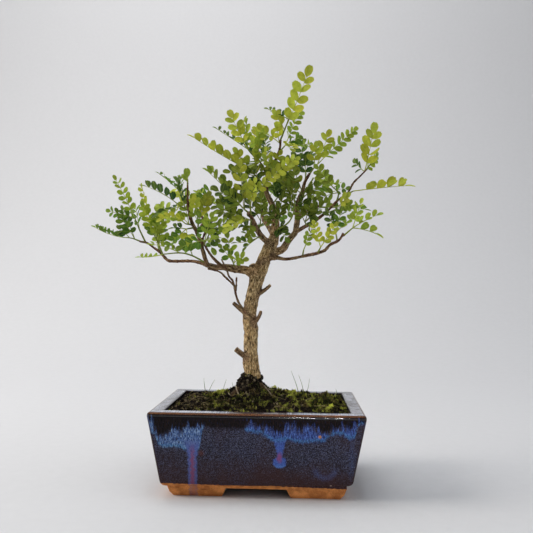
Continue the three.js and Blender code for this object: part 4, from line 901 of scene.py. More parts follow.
# The cushions' bodies. Matted old growth under the shoots, which lies on the compost and is sunk into it
# along its ragged edge.
MAT_RINGS, MAT_SIDES = 8, 28
MAT_SINK, EDGE_SINK = 0.4, 1.4
points, faces = [], []
for middle_x, middle_y, half_length, half_width in MOSS_PATCHES.values():
    start = len(points)
    top = rough_height(middle_x, middle_y) + moss_lift(middle_x, middle_y)
    points.append(in_pot(middle_x, middle_y, top - MAT_SINK))
    for ring in range(1, MAT_RINGS + 1):
        sink = MAT_SINK if ring < MAT_RINGS else EDGE_SINK
        for k in range(MAT_SIDES):
            angle = math.tau * k / MAT_SIDES
            ragged = 1 + 0.1 * ripple(math.cos(angle), math.sin(angle), 2, middle_x)
            far = ring / MAT_RINGS * ragged
            across = middle_x + half_length * far * math.cos(angle)
            along = middle_y + half_width * far * math.sin(angle)
            top = rough_height(across, along) + moss_lift(across, along)
            points.append(in_pot(across, along, top - sink))
    first = start + 1
    after = [(k + 1) % MAT_SIDES for k in range(MAT_SIDES)]
    faces += [(start, first + k, first + after[k]) for k in range(MAT_SIDES)]
    for a in range(first, first + (MAT_RINGS - 1) * MAT_SIDES, MAT_SIDES):
        b = a + MAT_SIDES
        faces += [(a + k, b + k, b + after[k], a + after[k]) for k in range(MAT_SIDES)]
thatch = mottled("matted_old_moss", 1300, 4, "#080a04", "#222b0e", 0.4, 0.65, 0.9, 0.08, relief=(0.9, 0.0008))
mats = mesh_piece("moss_mats", points, faces, thatch)
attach(mats, "root")

# The grass. Single fine blades that have seeded themselves at the back of the tray, and straw-pale ones that
# lie at the front. Rows are places in the pot and a radius, in millimetres.
GRASS = {
    "standing": [
        [(-47, 38, 56, 0.3), (-48, 34, 64, 0.25), (-48, 30, 71, 0.1)],
        [(-46, 38, 56, 0.3), (-43, 34, 63, 0.2), (-39, 29, 70, 0.1)],
        [(-33, 40, 56, 0.3), (-32, 33, 63, 0.2), (-29, 25, 71, 0.1)],
        [(30, 40, 56, 0.3), (27, 36, 67, 0.25), (23, 30, 78, 0.1)],
        [(34, 40, 56, 0.3), (32, 35, 66, 0.2), (29, 30, 75, 0.1)],
        [(35, 40, 56, 0.3), (37, 35, 64, 0.2), (38, 30, 72, 0.1)],
        [(-22, 36, 57, 0.25), (-24, 33, 63, 0.2), (-25, 31, 68, 0.1)],
        [(58, 36, 57, 0.25), (60, 33, 61, 0.2), (59, 31, 64, 0.1)],
    ],
    "lying": [
        [(-52, -14, 60, 0.3), (-46, -10, 62.5, 0.3), (-38, -9, 61, 0.2)],
        [(-10, -38, 59, 0.3), (-12, -43, 58.5, 0.25), (-15, -49, 58.9, 0.15)],
        [(31, -22, 61, 0.3), (36, -16, 63, 0.3), (40, -10, 63, 0.2)],
        [(12, -32, 60, 0.3), (15, -36, 60.5, 0.25), (22, -38, 60, 0.15)],
        [(40, -30, 60.5, 0.3), (46, -33, 61.2, 0.25), (56, -33, 60, 0.15)],
        [(6, -8, 66, 0.3), (10, -14, 64.5, 0.25), (17, -18, 63.5, 0.15)],
    ],
}
grass = mottled("fine_grass_blade", 260, 2, "#5b6a3c", "#8f9a62", 0.35, 0.65, 0.6, 0.5)
for name, blades in GRASS.items():
    points, faces = [], []
    for rows in blades:
        add_tube(points, faces, *smooth_line(rows, 2.5), 4)
    piece = mesh_piece("grass_" + name, points, faces, grass if name == "standing" else litter)
    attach(piece, "root")

# The feeder roots. Pale living threads that show where the root ball stands out of the compost. Rows are
# places in the pot and a radius, in millimetres.
FEEDERS = [
    [(-18, -10, 71, 0.4), (-16.5, -13, 67, 0.4), (-13, -17, 63.5, 0.35), (-7, -19, 61.5, 0.2)],
    [(3, -6, 71, 0.4), (6, -9, 68, 0.4), (9, -12, 65, 0.25)],
    [(-24, -6, 65, 0.35), (-22, -10, 63.5, 0.3), (-20, -14, 62.5, 0.2)],
    [(-12, 8, 71, 0.4), (-16, 12, 67, 0.35), (-20, 14, 63.5, 0.2)],
    [(1, 8, 70, 0.4), (6, 11, 66, 0.35), (9, 15, 64, 0.2)],
]
feeder = mottled("pale_feeder_root", 700, 3, "#6e5c42", "#b7a88a", 0.35, 0.65, 0.65, 0.5)
points, faces = [], []
for rows in FEEDERS:
    add_tube(points, faces, *smooth_line(rows, 1.5), 6)
threads = mesh_piece("feeder_roots", points, faces, feeder)
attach(threads, "root")

# The wood. A short straight trunk with ridged tan bark, cut back hard, with stubs where limbs were sawn off,
# and young darker limbs that carry the crown. Rows are a place in the pot and a radius, in millimetres.
TRUNK = [
    (-6, 0, 46, 7), (-6, 0, 56, 8.5), (-6, 0, 65, 8.2), (-6, 0, 71, 6.8), (-6, 0, 77, 5.8),
    (-7, 0, 84, 5.8), (-8, 0, 91, 6), (-8, 1, 98, 5.1), (-8, 1, 106, 5.2), (-8, 2, 114, 5.5),
    (-9, 2, 122, 5.4), (-9, 2, 129, 5.1), (-7, 2, 138, 5), (-5, 1, 146, 5.3), (-4, 1, 153, 5.8),
    (-1, 1, 160, 5.4), (1, 2, 166, 5.1), (5, 3, 175, 5.2), (8, 4, 183, 4.4),
]
LIMBS = {
    "bough": [
        (-5, 0, 155, 4.2), (-12, -2, 159, 3.3), (-20, -5, 160, 2.9), (-28, -8, 161, 2.5),
        (-35, -10, 161, 2.2), (-42, -12, 163, 1.9),
    ],
    "riser": [
        (-40, -12, 161, 1.7), (-43, -13, 170, 1.6), (-45, -16, 178, 1.6), (-48, -18, 187, 1.5),
        (-51, -20, 193, 1.4), (-53, -22, 200, 1.2), (-54, -24, 209, 1), (-54, -25, 216, 0.8),
        (-54, -26, 223, 0.7),
    ],
    "far": [
        (-40, -11, 162, 1.6), (-49, -6, 165, 1.3), (-57, 0, 166, 1.2), (-68, 5, 166, 1.3),
        (-75, 8, 167, 1.3), (-81, 10, 173, 1.1), (-87, 12, 177, 1), (-93, 14, 181, 0.9),
        (-99, 14, 182, 0.8),
    ],
    "cross": [(-29, -8, 161, 1.4), (-35, -18, 167, 1.1), (-38, -26, 172, 0.9), (-41, -34, 178, 0.7)],
    "inner": [
        (-45, -15, 177, 0.9), (-42, -17, 186, 0.8), (-38, -14, 194, 0.7), (-34, -8, 199, 0.7),
        (-31, -2, 204, 0.6),
    ],
    "drop": [
        (-10, 1, 125, 1.2), (-13, 0, 128, 1), (-17, -4, 134, 0.9), (-19, -7, 140, 0.9),
        (-21, -10, 150, 0.8), (-24, -12, 154, 0.8), (-25, -20, 159, 0.7), (-28, -28, 166, 0.6),
    ],
    "drop_side": [(-20, -9, 147, 0.8), (-26, -16, 153, 0.8), (-30, -22, 157, 0.7), (-38, -28, 159, 0.6)],
    "drop_slip": [(-19, -8, 143, 0.8), (-19, -4, 154, 0.6)],
    "stub_low": [(-7, 0, 91, 2.8), (-13, -2, 94, 2.2), (-19, -4, 99, 2)],
    "stub_middle": [(-8, 1, 123, 2.4), (-15, 2, 128, 1.8), (-22, 3, 134, 1.5)],
    "stub_right": [(-6, 2, 139, 2.2), (1, 1, 143, 1.5), (7, 0, 148, 1.2)],
    "stub_bud": [(-7, 1, 117, 2), (-2, -3, 123, 1.5), (0, -5, 128, 1.2)],
    "stub_fork": [(-5, 0, 156, 3.6), (-6, -4, 160, 3.2), (-7, -6, 163, 2.9)],
    "stub_high": [(1, 0, 164, 2.4), (-1, -4, 168, 1.8)],
    "stub_spur": [(5, 2, 169, 2.6), (13, 1, 169, 1.3)],
    "centre": [
        (8, 4, 181, 4.2), (10, 5, 190, 3.4), (10, 6, 198, 3), (10, 7, 205, 2.6), (7, 8, 212, 2.2),
        (3, 9, 220, 2), (2, 11, 228, 1.7), (3, 13, 236, 1.4), (5, 14, 243, 1.2),
    ],
    "top_shoot": [(4, 14, 242, 1.1), (9, 8, 246, 1.1), (13, -4, 252, 1), (14, -12, 258, 0.9)],
    "top_twig": [(3, 12, 232, 1), (-1, 10, 243, 0.8), (-8, 7, 250, 0.7)],
    "left_leader": [
        (7, 3, 179, 3), (3, -4, 182, 2.3), (-1, -11, 186, 2.1), (-4, -17, 191, 1.9), (-6, -22, 196, 1.6),
        (-9, -26, 201, 1.3),
    ],
    "right_leader": [
        (7, 4, 173, 3.6), (15, 9, 176, 2.8), (20, 13, 183, 2.6), (25, 16, 190, 2.4), (27, 18, 199, 2.3),
        (27, 20, 208, 2.2), (28, 22, 216, 2.1), (31, 23, 224, 1.7), (33, 24, 232, 1.3), (37, 22, 239, 1),
    ],
    "right_long": [
        (25, 16, 190, 1.7), (34, 11, 195, 1.5), (40, 7, 198, 1.5), (46, 3, 202, 1.2), (52, -1, 207, 1),
        (58, -5, 213, 0.9), (65, -9, 218, 0.8), (69, -12, 225, 0.8), (74, -14, 230, 0.7),
        (79, -15, 235, 0.6),
    ],
    "right_low": [
        (7, 3, 171, 1.9), (16, -3, 168, 1.3), (23, -8, 168, 1.2), (29, -13, 169, 1.1), (35, -18, 170, 1.2),
        (41, -23, 171, 1.3), (47, -27, 173, 1.2), (51, -30, 177, 1.1), (57, -33, 180, 1),
        (60, -35, 185, 0.9),
    ],
    "back": [(8, 5, 180, 3), (8, 16, 187, 2.2), (4, 27, 195, 1.8), (-1, 36, 203, 1.4), (-3, 43, 212, 1)],
    "back_left": [(-48, -18, 187, 1.2), (-46, -4, 194, 1), (-48, 10, 200, 0.9), (-52, 22, 208, 0.8)],
    "back_right": [(27, 19, 204, 1.6), (36, 28, 209, 1.2), (46, 36, 215, 0.9), (54, 42, 222, 0.8)],
    "root_left": [(-9, -2, 72, 3.4), (-14, -5, 70.5, 2), (-19, -8, 66.5, 1.6), (-24, -12, 62, 1.2)],
    "root_right": [(-3, -2, 72, 3.4), (2, -5, 70.5, 2), (7, -7, 66.5, 1.5), (12, -10, 62, 1.1)],
    "root_front": [(-6, -3, 72, 3), (-8, -9, 70, 1.8), (-7, -14, 66, 1.4), (-9, -20, 61.5, 1)],
}
BARK_VOXEL = 0.00048
TREE_RISE = 0.5
KNUCKLE_STEP = 7.5

strands = {name: smooth_line(rows, 1, TREE_RISE) for name, rows in {"trunk": TRUNK, **LIMBS}.items()}
drawn = bpy.data.curves.new("tree", "CURVE")
drawn.dimensions = "3D"
drawn.bevel_depth = 0.001
drawn.bevel_resolution = 4
drawn.use_fill_caps = True
for line, radii in strands.values():
    strand = drawn.splines.new("POLY")
    strand.points.add(len(line) - 1)
    for point, at, radius in zip(strand.points, line, radii):
        point.co = (*at, 1)
        point.radius = radius * 1000
select_only(place("tree", drawn))
bpy.ops.object.convert(target="MESH")
tree = bpy.context.object
modify(tree, "REMESH", mode="VOXEL", voxel_size=BARK_VOXEL)

# Each point of the bark looks up the strand under it: how thick it is, how far along, and which way round
strand_marks = []
for name, (line, radii) in strands.items():
    run = 0
    for i, (at, ahead, side, square) in enumerate(ways_along(line)):
        run += (at - line[i - 1]).length * 1000 if i else 0
        sawn_end = name.startswith("stub") and i == len(line) - 1
        strand_marks.append((at, radii[i], ahead, side, square, run, sawn_end))
nearby = kdtree.KDTree(len(strand_marks))
for i, strand_mark in enumerate(strand_marks):
    nearby.insert(strand_mark[0], i)
nearby.balance()

girths, barks, sawns, shifts = [], [], [], []
for vert in tree.data.vertices:
    hits = nearby.find_n(vert.co, 6)
    nearest = min(hits, key=lambda hit: hit[2] - strand_marks[hit[1]][1])[1]
    at, radius, ahead, side, square, run, sawn_end = strand_marks[nearest]
    away = vert.co - at
    forward = away.dot(ahead)
    angle = math.atan2(away.dot(square), away.dot(side))
    thick = radius * 1000
    seat = Vector((math.cos(angle) * thick, math.sin(angle) * thick, run + forward * 1000))
    stout = ramp(thick, 1, 4.2)
    ridge = 1 - 2 * abs(noise.noise(Vector((seat.x * 0.62, seat.y * 0.62, seat.z * 0.17 + thick))))
    warts = max(noise.noise(vert.co * 330) - 0.22, 0) * 1.6
    lumps = noise.noise(vert.co * 95)
    past_knuckle = (seat.z + 3 * math.sin(thick * 40)) % KNUCKLE_STEP
    knuckle = math.exp(-(((past_knuckle - 3.7) / 0.8) ** 2)) * (1 - stout)
    relief = stout * (0.48 * ridge + 0.5 * warts + 0.55 * lumps)
    relief += 0.22 * knuckle
    relief += (1 - stout) * (0.12 * ridge + 0.25 * warts)
    cut_face = sawn_end and forward > -0.0003
    way = away - ahead * forward
    still = cut_face or way.length < 1e-6
    shifts.append(Vector() if still else way.normalized() * (relief - 0.12) / 1000)
    sawns.append(float(cut_face))
    girths.append(ramp(thick, 0.6, 5.2))
    barks.extend(seat)
for vert, shift in zip(tree.data.vertices, shifts):
    vert.co += shift
mark(tree, girth=girths, sawn=sawns)
tree.data.attributes.new("bark_at", "FLOAT_VECTOR", "POINT").data.foreach_set("vector", barks)
bpy.ops.object.shade_smooth()

# Pale buff ridges over dark furrows, which the eye reads as old bark, go to smooth red brown on the twigs,
# with a dull bloom in patches, damp brown at the foot and paler wood on the sawn stubs. The ridges are
# partly painted highlight, and the furrows, where the bump sinks, partly painted shade
bark = new_material("ridged_living_bark")
girth = node(bark, "Attribute", attribute_name="girth").outputs["Fac"]
sawn = node(bark, "Attribute", attribute_name="sawn").outputs["Fac"]
bark_at = node(bark, "Attribute", attribute_name="bark_at").outputs["Vector"]
tree_at = node(bark, "TexCoord").outputs["Object"]
bark_height = node(bark, "SeparateXYZ", [tree_at]).outputs["Z"]
grain_at = node(bark, "Mapping", {0: bark_at, "Scale": (1, 1, 0.24)})
furrows = node(bark, "TexNoise", {"Vector": grain_at, "Scale": 1.2, "Detail": 5, "Roughness": 0.75})
fibres = node(bark, "TexNoise", {"Vector": grain_at, "Scale": 2.6, "Detail": 2})
blotches = node(bark, "TexNoise", {"Vector": tree_at, "Scale": 120, "Detail": 3})
specks = node(bark, "TexVoronoi", {"Vector": tree_at, "Scale": 360})
stoutness = meet(bark, (girth, 0.1, 0.8))
ridge_pale_and_highlight = node(bark, "MixRGB", [stoutness, "#a3825e", "#f0d6a4"])
furrow_dark_and_shade = node(bark, "MixRGB", [stoutness, "#1d120c", "#251a10"])
sawn_tone = lay_on(bark, "#4a3524", [("#b99a6c", (blotches, 0.4, 0.6))])
bark_tone = lay_on(bark, "#5c3a29", [
    ("#735a42", (girth, 0.02, 0.3)),
    ("#a08058", (girth, 0.3, 0.62)),
    ("#a4865a", (girth, 0.6, 0.92)),
    ("#8a7654", (blotches, 0.45, 0.65, 0, 0.6)),
    # Ridges paler and furrows darker where the bump rises and sinks: partly the bark's own colour, partly
    # painted highlight and painted shade
    (ridge_pale_and_highlight, (furrows, 0.52, 0.63, 0, 0.95)),
    (furrow_dark_and_shade, (furrows, 0.495, 0.405, 0, 0.97)),
    (furrow_dark_and_shade, (fibres, 0.45, 0.33, 0, 0.6)),
    (furrow_dark_and_shade, (specks, 0.22, 0.1, 0, 0.55)),
    ("#2a1d12", (bark_height, 0.082, 0.068, 0, 0.75)),
    (sawn_tone, sawn),
])
ridged = node(bark, "Bump", {"Height": furrows, "Strength": 0.75, "Distance": 0.0008})
bark_relief = node(bark, "Bump", {"Height": fibres, "Strength": 0.4, "Distance": 0.0004, "Normal": ridged})
bark_look = {"Base Color": bark_tone, "Roughness": 0.78, "Normal": bark_relief, "Specular IOR Level": 0.12}
bark_shade = node(bark, "BsdfPrincipled", bark_look)
node(bark, "OutputMaterial", [bark_shade])
tree.data.materials.clear()
tree.data.materials.append(bark)
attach(tree, "root")
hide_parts("tree_wood")

# The foliage. Green shoots with pinnate leaves: a thin rib that carries pairs of small oval leaflets and
# one at its end, pale where they are young and dark where they are old, and darker inside the crown with
# painted shade. Places and sizes are in millimetres.

# How a leaf holds its leaflets: which way they face, and how many degrees they fold up from the rib
HABITS = {
    "front": ((0, -1, 0.3), 18), "veed": ((0, -1, 0.55), 36), "shelf": ((0.05, -0.45, 1), 32),
    "comb": ((0.05, -0.3, 1), 68), "left": ((-0.8, -0.7, 0.3), 22), "right": ((0.8, -0.7, 0.3), 22),
    "back": ((0.1, 1, 0.4), 22),
}
# Tones by age; the dark and deep ones also carry painted shade, given mostly to inner and back leaves
LEAF_TONES = {"young": "#cbd044", "fresh": "#9bb23a", "dark": "#54802c", "deep": "#2a5a31"}
DARKER = {"young": "fresh", "fresh": "dark", "dark": "deep", "deep": "deep"}
LEAFLET_LEAN = {"young": 44, "fresh": 36, "dark": 30, "deep": 28}

# Each spray has a count of spare leaves that chance adds inside the crown, the points of its shoot, and its
# leaves. A leaf has the number of the point it grows from, its tip, how high its rib bows, the length of
# its leaflets, its habit, its tone, and the share by which its leaflets shrink to its end.
SPRAYS = {
    "left_tip": (0, [(-98, 14, 182), (-103, 14, 184), (-107, 13, 185)], [
        (2, (-141, 20, 196), -5, 6, "comb", "dark", 0.2), (1, (-112, 4, 210), 2, 6, "left", "deep", 0),
        (1, (-114, 2, 203), 2, 7, "front", "dark", 0), (2, (-116, 6, 194), 1, 6, "front", "deep", 0),
    ]),
    "left_crown": (1, [(-94, 14, 181), (-98, 9, 191), (-101, 5, 200)], [
        (2, (-114, -12, 231), 2, 7, "front", "fresh", 0.2), (1, (-106, 22, 213), 2, 7, "front", "dark", 0),
    ]),
    "left_bunch": (3, [(-79, 9, 171), (-82, 3, 181), (-85, -2, 188)], [
        (2, (-92, -12, 211), 1, 6.5, "front", "fresh", 0), (1, (-78, 0, 210), 2, 6.5, "front", "fresh", 0),
        (2, (-94, -6, 226), 3, 7.5, "left", "young", 0.3),
    ]),
    "left_slip": (3, [(-82, 10, 173), (-85, 15, 183), (-86, 17, 188)], [
        (2, (-75, 20, 206), 3, 7, "front", "fresh", 0), (1, (-98, 24, 198), 3, 7, "shelf", "dark", 0),
    ]),
    "left_arch": (2, [(-51, -20, 192), (-55, -26, 192)], [
        (1, (-75, -34, 192), 9, 6, "veed", "young", 0), (1, (-81, -16, 207), 4, 7, "front", "fresh", 0),
    ]),
    "left_drop": (1, [(-50, -19, 190), (-54, -28, 188)], [
        (1, (-68, -36, 171), 2, 6, "veed", "dark", 0), (1, (-51, -36, 174), 1, 8, "front", "young", 0),
    ]),
    "left_fan": (2, [(-54, -26, 219), (-54, -26, 225)], [
        (1, (-55, -26, 234), 0, 12, "front", "fresh", 0),
    ]),
    "left_dark_low": (2, [(-53, -22, 202), (-59, -26, 205)], [
        (1, (-89, -32, 220), 5, 7, "comb", "deep", 0),
    ]),
    "left_dark_high": (2, [(-54, -23, 206), (-58, -16, 213), (-62, -12, 218)], [
        (2, (-83, -6, 235), 2, 6, "shelf", "dark", 0.4), (1, (-72, 2, 222), 1, 6, "front", "young", 0),
    ]),
    "left_bright": (0, [(-47, -18, 186), (-46, -25, 194), (-46, -30, 199)], [
        (2, (-48, -34, 213), 0, 6, "front", "young", 0), (1, (-38, -20, 218), -2, 6.5, "front", "young", 0),
        (1, (-52, -30, 204), 1, 6.5, "front", "fresh", 0),
    ]),
    "left_inner": (4, [(-33, -5, 202), (-30, 1, 206)], [
        (1, (-17, 6, 218), 2, 8, "front", "fresh", 0), (1, (-46, 2, 214), 2, 7, "front", "fresh", 0),
        (1, (-14, 8, 198), 3, 7, "front", "dark", 0),
    ]),
    "left_core": (3, [(-44, -15, 176), (-40, -21, 181), (-38, -25, 184)], [
        (2, (-45, -38, 200), 1, 8, "front", "dark", 0), (2, (-20, -32, 194), 3, 7, "front", "fresh", 0),
        (1, (-33, -24, 169), 2, 7, "front", "dark", 0), (1, (-30, -30, 181), 2, 7, "front", "fresh", 0),
    ]),
    "left_under": (0, [(-42, -12, 164), (-51, -17, 169), (-60, -19, 171), (-73, -18, 170)], [
        (3, (-95, -16, 168), -2, 5, "shelf", "fresh", 0), (1, (-57, -23, 186), 1, 8, "front", "dark", 0),
        (2, (-84, -26, 177), 3, 5, "shelf", "fresh", 0),
    ]),
    "left_front": (2, [(-40, -31, 176), (-39, -37, 179)], [
        (1, (-58, -48, 171), 2, 7, "front", "dark", 0), (1, (-32, -48, 198), 2, 7, "front", "fresh", 0),
    ]),
    "bough_shoot": (1, [(-20, -4, 160), (-21, -9, 164), (-22, -12, 168)], [
        (2, (-26, -16, 188), 0, 7, "front", "fresh", 0), (1, (-9, -18, 165), 5, 7, "front", "fresh", 0),
        (1, (-17, -20, 172), 0, 7, "front", "fresh", 0),
    ]),
    "bough_leaf": (2, [(0, -9, 184), (-2, -17, 183)], [
        (1, (-22, -20, 179), -3, 6, "comb", "dark", 0),
    ]),
    "leader_low": (3, [(-6, -21, 195), (-8, -28, 195)], [
        (1, (-25, -44, 183), 7, 7, "front", "young", 0), (1, (-35, -17, 202), 4, 7, "front", "fresh", 0),
    ]),
    "leader_crown": (2, [(-8, -25, 200), (-12, -27, 203), (-15, -28, 206)], [
        (2, (-35, -38, 218), 0, 8, "veed", "deep", 0), (2, (-44, -22, 235), 3, 8.5, "comb", "fresh", 0),
        (1, (-15, -38, 238), 0, 8, "front", "young", 0), (1, (-26, -38, 214), 3, 7, "front", "fresh", 0),
    ]),
    "leader_arm": (0, [(-7, -23, 198), (-7, -32, 204), (-7, -36, 209)], [
        (2, (29, -46, 237), 6, 6.5, "front", "young", 0), (1, (-2, -50, 222), 1, 6.5, "front", "young", 0),
    ]),
    "left_mast": (2, [(3, 10, 224), (-5, 5, 233), (-12, 1, 238)], [
        (2, (-58, -8, 264), -2, 9.5, "comb", "young", 0.1), (1, (-30, -10, 234), 2, 8, "front", "fresh", 0),
        (2, (-22, -12, 252), 1, 8, "front", "young", 0),
    ]),
    "top_left": (2, [(4, 13, 239), (1, 9, 246)], [
        (1, (-42, 16, 276), 1, 7, "shelf", "deep", 0.4), (1, (-9, -16, 236), 3, 8, "front", "fresh", 0),
        (1, (-9, -10, 261), 1, 7.5, "front", "fresh", 0),
    ]),
    "top_fork": (2, [(-7, 7, 249), (-12, 4, 254)], [
        (1, (-28, 6, 287), -2, 9, "front", "young", 0), (1, (-15, 10, 283), 1, 8, "left", "fresh", 0),
    ]),
    "top_tip": (0, [(13, -10, 256), (17, -17, 264), (20, -21, 271)], [
        (1, (36, -38, 306), -3, 10.5, "front", "young", 0.1),
        (2, (1, -14, 282), 1, 6, "shelf", "deep", 0.4), (0, (-7, -24, 264), 3, 7, "veed", "young", 0),
        (1, (8, -26, 277), 1, 8, "front", "young", 0), (0, (10, -22, 268), 2, 7.5, "front", "young", 0),
    ]),
    "top_right": (1, [(11, 0, 249), (17, 3, 257)], [
        (1, (30, 10, 291), -1, 6.5, "right", "fresh", 0), (1, (32, 14, 266), 3, 7, "right", "dark", 0),
        (1, (24, -20, 247), 3, 8, "shelf", "young", 0),
    ]),
    "arch_leaf": (1, [(10, 4, 190), (21, -9, 196), (25, -17, 206), (24, -22, 214)], [
        (3, (1, -34, 242), 1, 7, "front", "fresh", 0), (2, (14, -28, 224), 2, 6, "front", "fresh", 0),
        (3, (27, -20, 224), 1, 7, "front", "dark", 0),
    ]),
    "right_glow": (1, [(28, 20, 211), (31, 7, 216), (30, 1, 222)], [
        (2, (21, -8, 244), 1, 7, "front", "young", 0), (1, (46, -4, 226), 2, 6, "front", "fresh", 0),
        (1, (39, -10, 229), 4, 6.5, "front", "fresh", 0),
    ]),
    "core_left": (3, [(3, 9, 219), (-1, 17, 227)], [
        (1, (-14, 24, 246), 1, 8.5, "front", "deep", 0), (1, (-20, 22, 222), 3, 8, "front", "deep", 0),
    ]),
    "core_right": (4, [(7, 8, 211), (11, 17, 218)], [
        (1, (24, 27, 240), 1, 8.5, "front", "deep", 0), (1, (4, 26, 240), 1, 8, "front", "dark", 0),
    ]),
    "core_front": (2, [(-2, -13, 188), (0, -20, 195)], [
        (1, (1, -28, 216), 0, 7, "front", "fresh", 0), (1, (-12, -16, 212), 2, 8, "front", "deep", 0),
    ]),
    "core_low": (2, [(10, 5, 193), (12, -6, 196)], [
        (1, (17, -12, 219), 0, 7, "front", "fresh", 0), (1, (1, -12, 207), 2, 6.5, "left", "fresh", 0),
        (0, (21, -6, 180), 3, 6.5, "front", "dark", 0), (0, (20, -4, 191), 1, 6.5, "front", "deep", 0),
    ]),
    "core_high": (2, [(2, 11, 229), (7, 3, 235)], [
        (1, (25, -2, 246), 2, 7, "front", "fresh", 0), (1, (3, -26, 249), 1, 7, "front", "young", 0),
        (1, (22, 0, 230), 3, 7, "front", "dark", 0), (1, (15, -8, 251), 2, 7, "front", "young", 0),
    ]),
    "right_crown": (0, [(36, 22, 237), (40, 22, 243), (43, 22, 246)], [
        (2, (53, 14, 273), 0, 8.5, "front", "young", 0), (2, (77, 34, 280), 2, 8.5, "veed", "fresh", 0.3),
        (1, (42, 8, 262), 1, 8, "front", "young", 0),
    ]),
    "right_shade": (2, [(33, 24, 231), (34, 30, 241)], [
        (1, (28, 38, 275), -1, 8, "front", "deep", 0), (1, (22, 20, 256), 1, 8, "front", "deep", 0),
    ]),
    "right_hook": (0, [(57, -4, 212), (58, -10, 218), (54, -13, 221)], [
        (2, (39, -18, 238), 1, 6.5, "front", "fresh", 0), (2, (59, -22, 224), 0, 5, "veed", "fresh", 0),
        (1, (42, -10, 212), 2, 6, "front", "fresh", 0),
    ]),
    "right_spire": (0, [(77, -15, 233), (81, -18, 238)], [
        (0, (84, -22, 269), -3, 9.5, "front", "young", 0), (0, (88, -8, 250), -2, 5.5, "right", "fresh", 0),
        (0, (69, -6, 245), -2, 6, "left", "deep", 0),
    ]),
    "right_comb": (0, [(64, -8, 217), (69, -11, 219)], [
        (1, (115, -14, 223), 1, 10, "comb", "young", 0),
    ]),
    "right_bright": (0, [(54, -2, 208), (57, -12, 207)], [
        (1, (66, -20, 217), -2, 6.5, "front", "young", 0), (1, (71, -16, 205), 3, 6, "front", "fresh", 0),
    ]),
    "right_shelf": (0, [(46, 3, 202), (53, 9, 206), (60, 12, 208)], [
        (2, (86, 16, 208), 2, 7, "shelf", "dark", 0), (1, (68, 2, 211), 1, 6, "front", "dark", 0),
    ]),
    "right_end": (0, [(60, -34, 183), (66, -41, 188)], [
        (1, (87, -46, 198), 2, 6.5, "shelf", "fresh", 0), (1, (88, -40, 181), 3, 8, "shelf", "fresh", 0),
        (1, (72, -50, 208), 1, 6, "front", "fresh", 0),
    ]),
    "right_ladder": (0, [(31, -14, 169), (32, -18, 174)], [
        (1, (40, -20, 196), -1, 5, "front", "fresh", 0),
    ]),
    "right_low_leaf": (0, [(42, -24, 171), (44, -30, 175)], [
        (1, (56, -36, 193), 0, 5.5, "front", "young", 0), (1, (38, -38, 194), 0, 5, "front", "young", 0),
    ]),
    "right_thorn": (0, [(56, -32, 179), (55, -27, 186)], [
        (1, (48, -22, 205), 1, 6, "front", "deep", 0), (1, (60, -26, 206), 0, 6, "front", "dark", 0),
        (1, (74, -20, 202), 2, 6, "front", "fresh", 0),
    ]),
    "right_arm": (1, [(27, 18, 201), (34, 9, 205)], [
        (1, (58, 18, 212), 3, 8, "veed", "fresh", 0), (1, (29, 0, 217), 1, 6.5, "front", "dark", 0),
    ]),
    "right_inner": (0, [(29, 22, 218), (34, 27, 222)], [
        (1, (54, 34, 232), 3, 6.5, "front", "dark", 0), (1, (46, 12, 216), 3, 6, "front", "fresh", 0),
    ]),
    "right_bud": (2, [(35, 11, 195), (33, 4, 197)], [
        (1, (39, -6, 210), 4, 7, "front", "fresh", 0), (1, (46, -6, 204), 2, 7, "front", "dark", 0),
        (1, (26, -4, 208), 2, 6.5, "front", "fresh", 0),
    ]),
    "back_top": (2, [(-2, 42, 210), (-3, 46, 216)], [
        (1, (-20, 56, 240), 3, 8, "back", "fresh", 0), (1, (16, 55, 238), 3, 8, "back", "dark", 0),
        (1, (-3, 57, 210), 6, 8, "shelf", "fresh", 0),
    ]),
    "back_middle": (0, [(4, 27, 194), (8, 33, 200)], [
        (1, (26, 48, 214), 3, 8, "back", "dark", 0), (1, (-17, 57, 191), 4, 8, "shelf", "deep", 0),
    ]),
    "back_left": (2, [(-51, 21, 207), (-54, 27, 213)], [
        (1, (-78, 38, 224), 3, 8, "back", "fresh", 0), (1, (-44, 46, 232), 3, 8, "back", "dark", 0),
        (1, (-32, 36, 214), 4, 8, "shelf", "fresh", 0),
    ]),
    "back_right": (0, [(53, 41, 221), (56, 45, 227)], [
        (1, (44, 54, 248), 2, 8, "back", "fresh", 0), (1, (73, 50, 231), 3, 7, "back", "dark", 0),
        (1, (42, 57, 222), 5, 8, "shelf", "fresh", 0),
    ]),
}

# One leaflet, as shares of its length: how far out, and half its width there. The end is notched, and the
# blade is folded a little along the midrib and droops to its tip.
LEAFLET_ROWS = [(0, 0.05), (0.08, 0.16), (0.22, 0.36), (0.42, 0.49), (0.64, 0.5), (0.83, 0.38), (0.96, 0.17)]
LEAFLET_WIDTH, END_LEAFLET_WIDTH = 0.61, 0.66
leaflet_points, leaflet_faces = [], []
for out, half in LEAFLET_ROWS:
    droop = -0.13 * out * out
    notch = -0.035 if out > 0.9 else 0
    edge = droop + 0.16 * half
    leaflet_points += [(out, -half, edge), (out + notch, 0, droop - 0.015), (out, half, edge)]
for a in range(0, 3 * len(LEAFLET_ROWS) - 3, 3):
    leaflet_faces += [(a, a + 3, a + 4, a + 1), (a + 1, a + 4, a + 5, a + 2)]

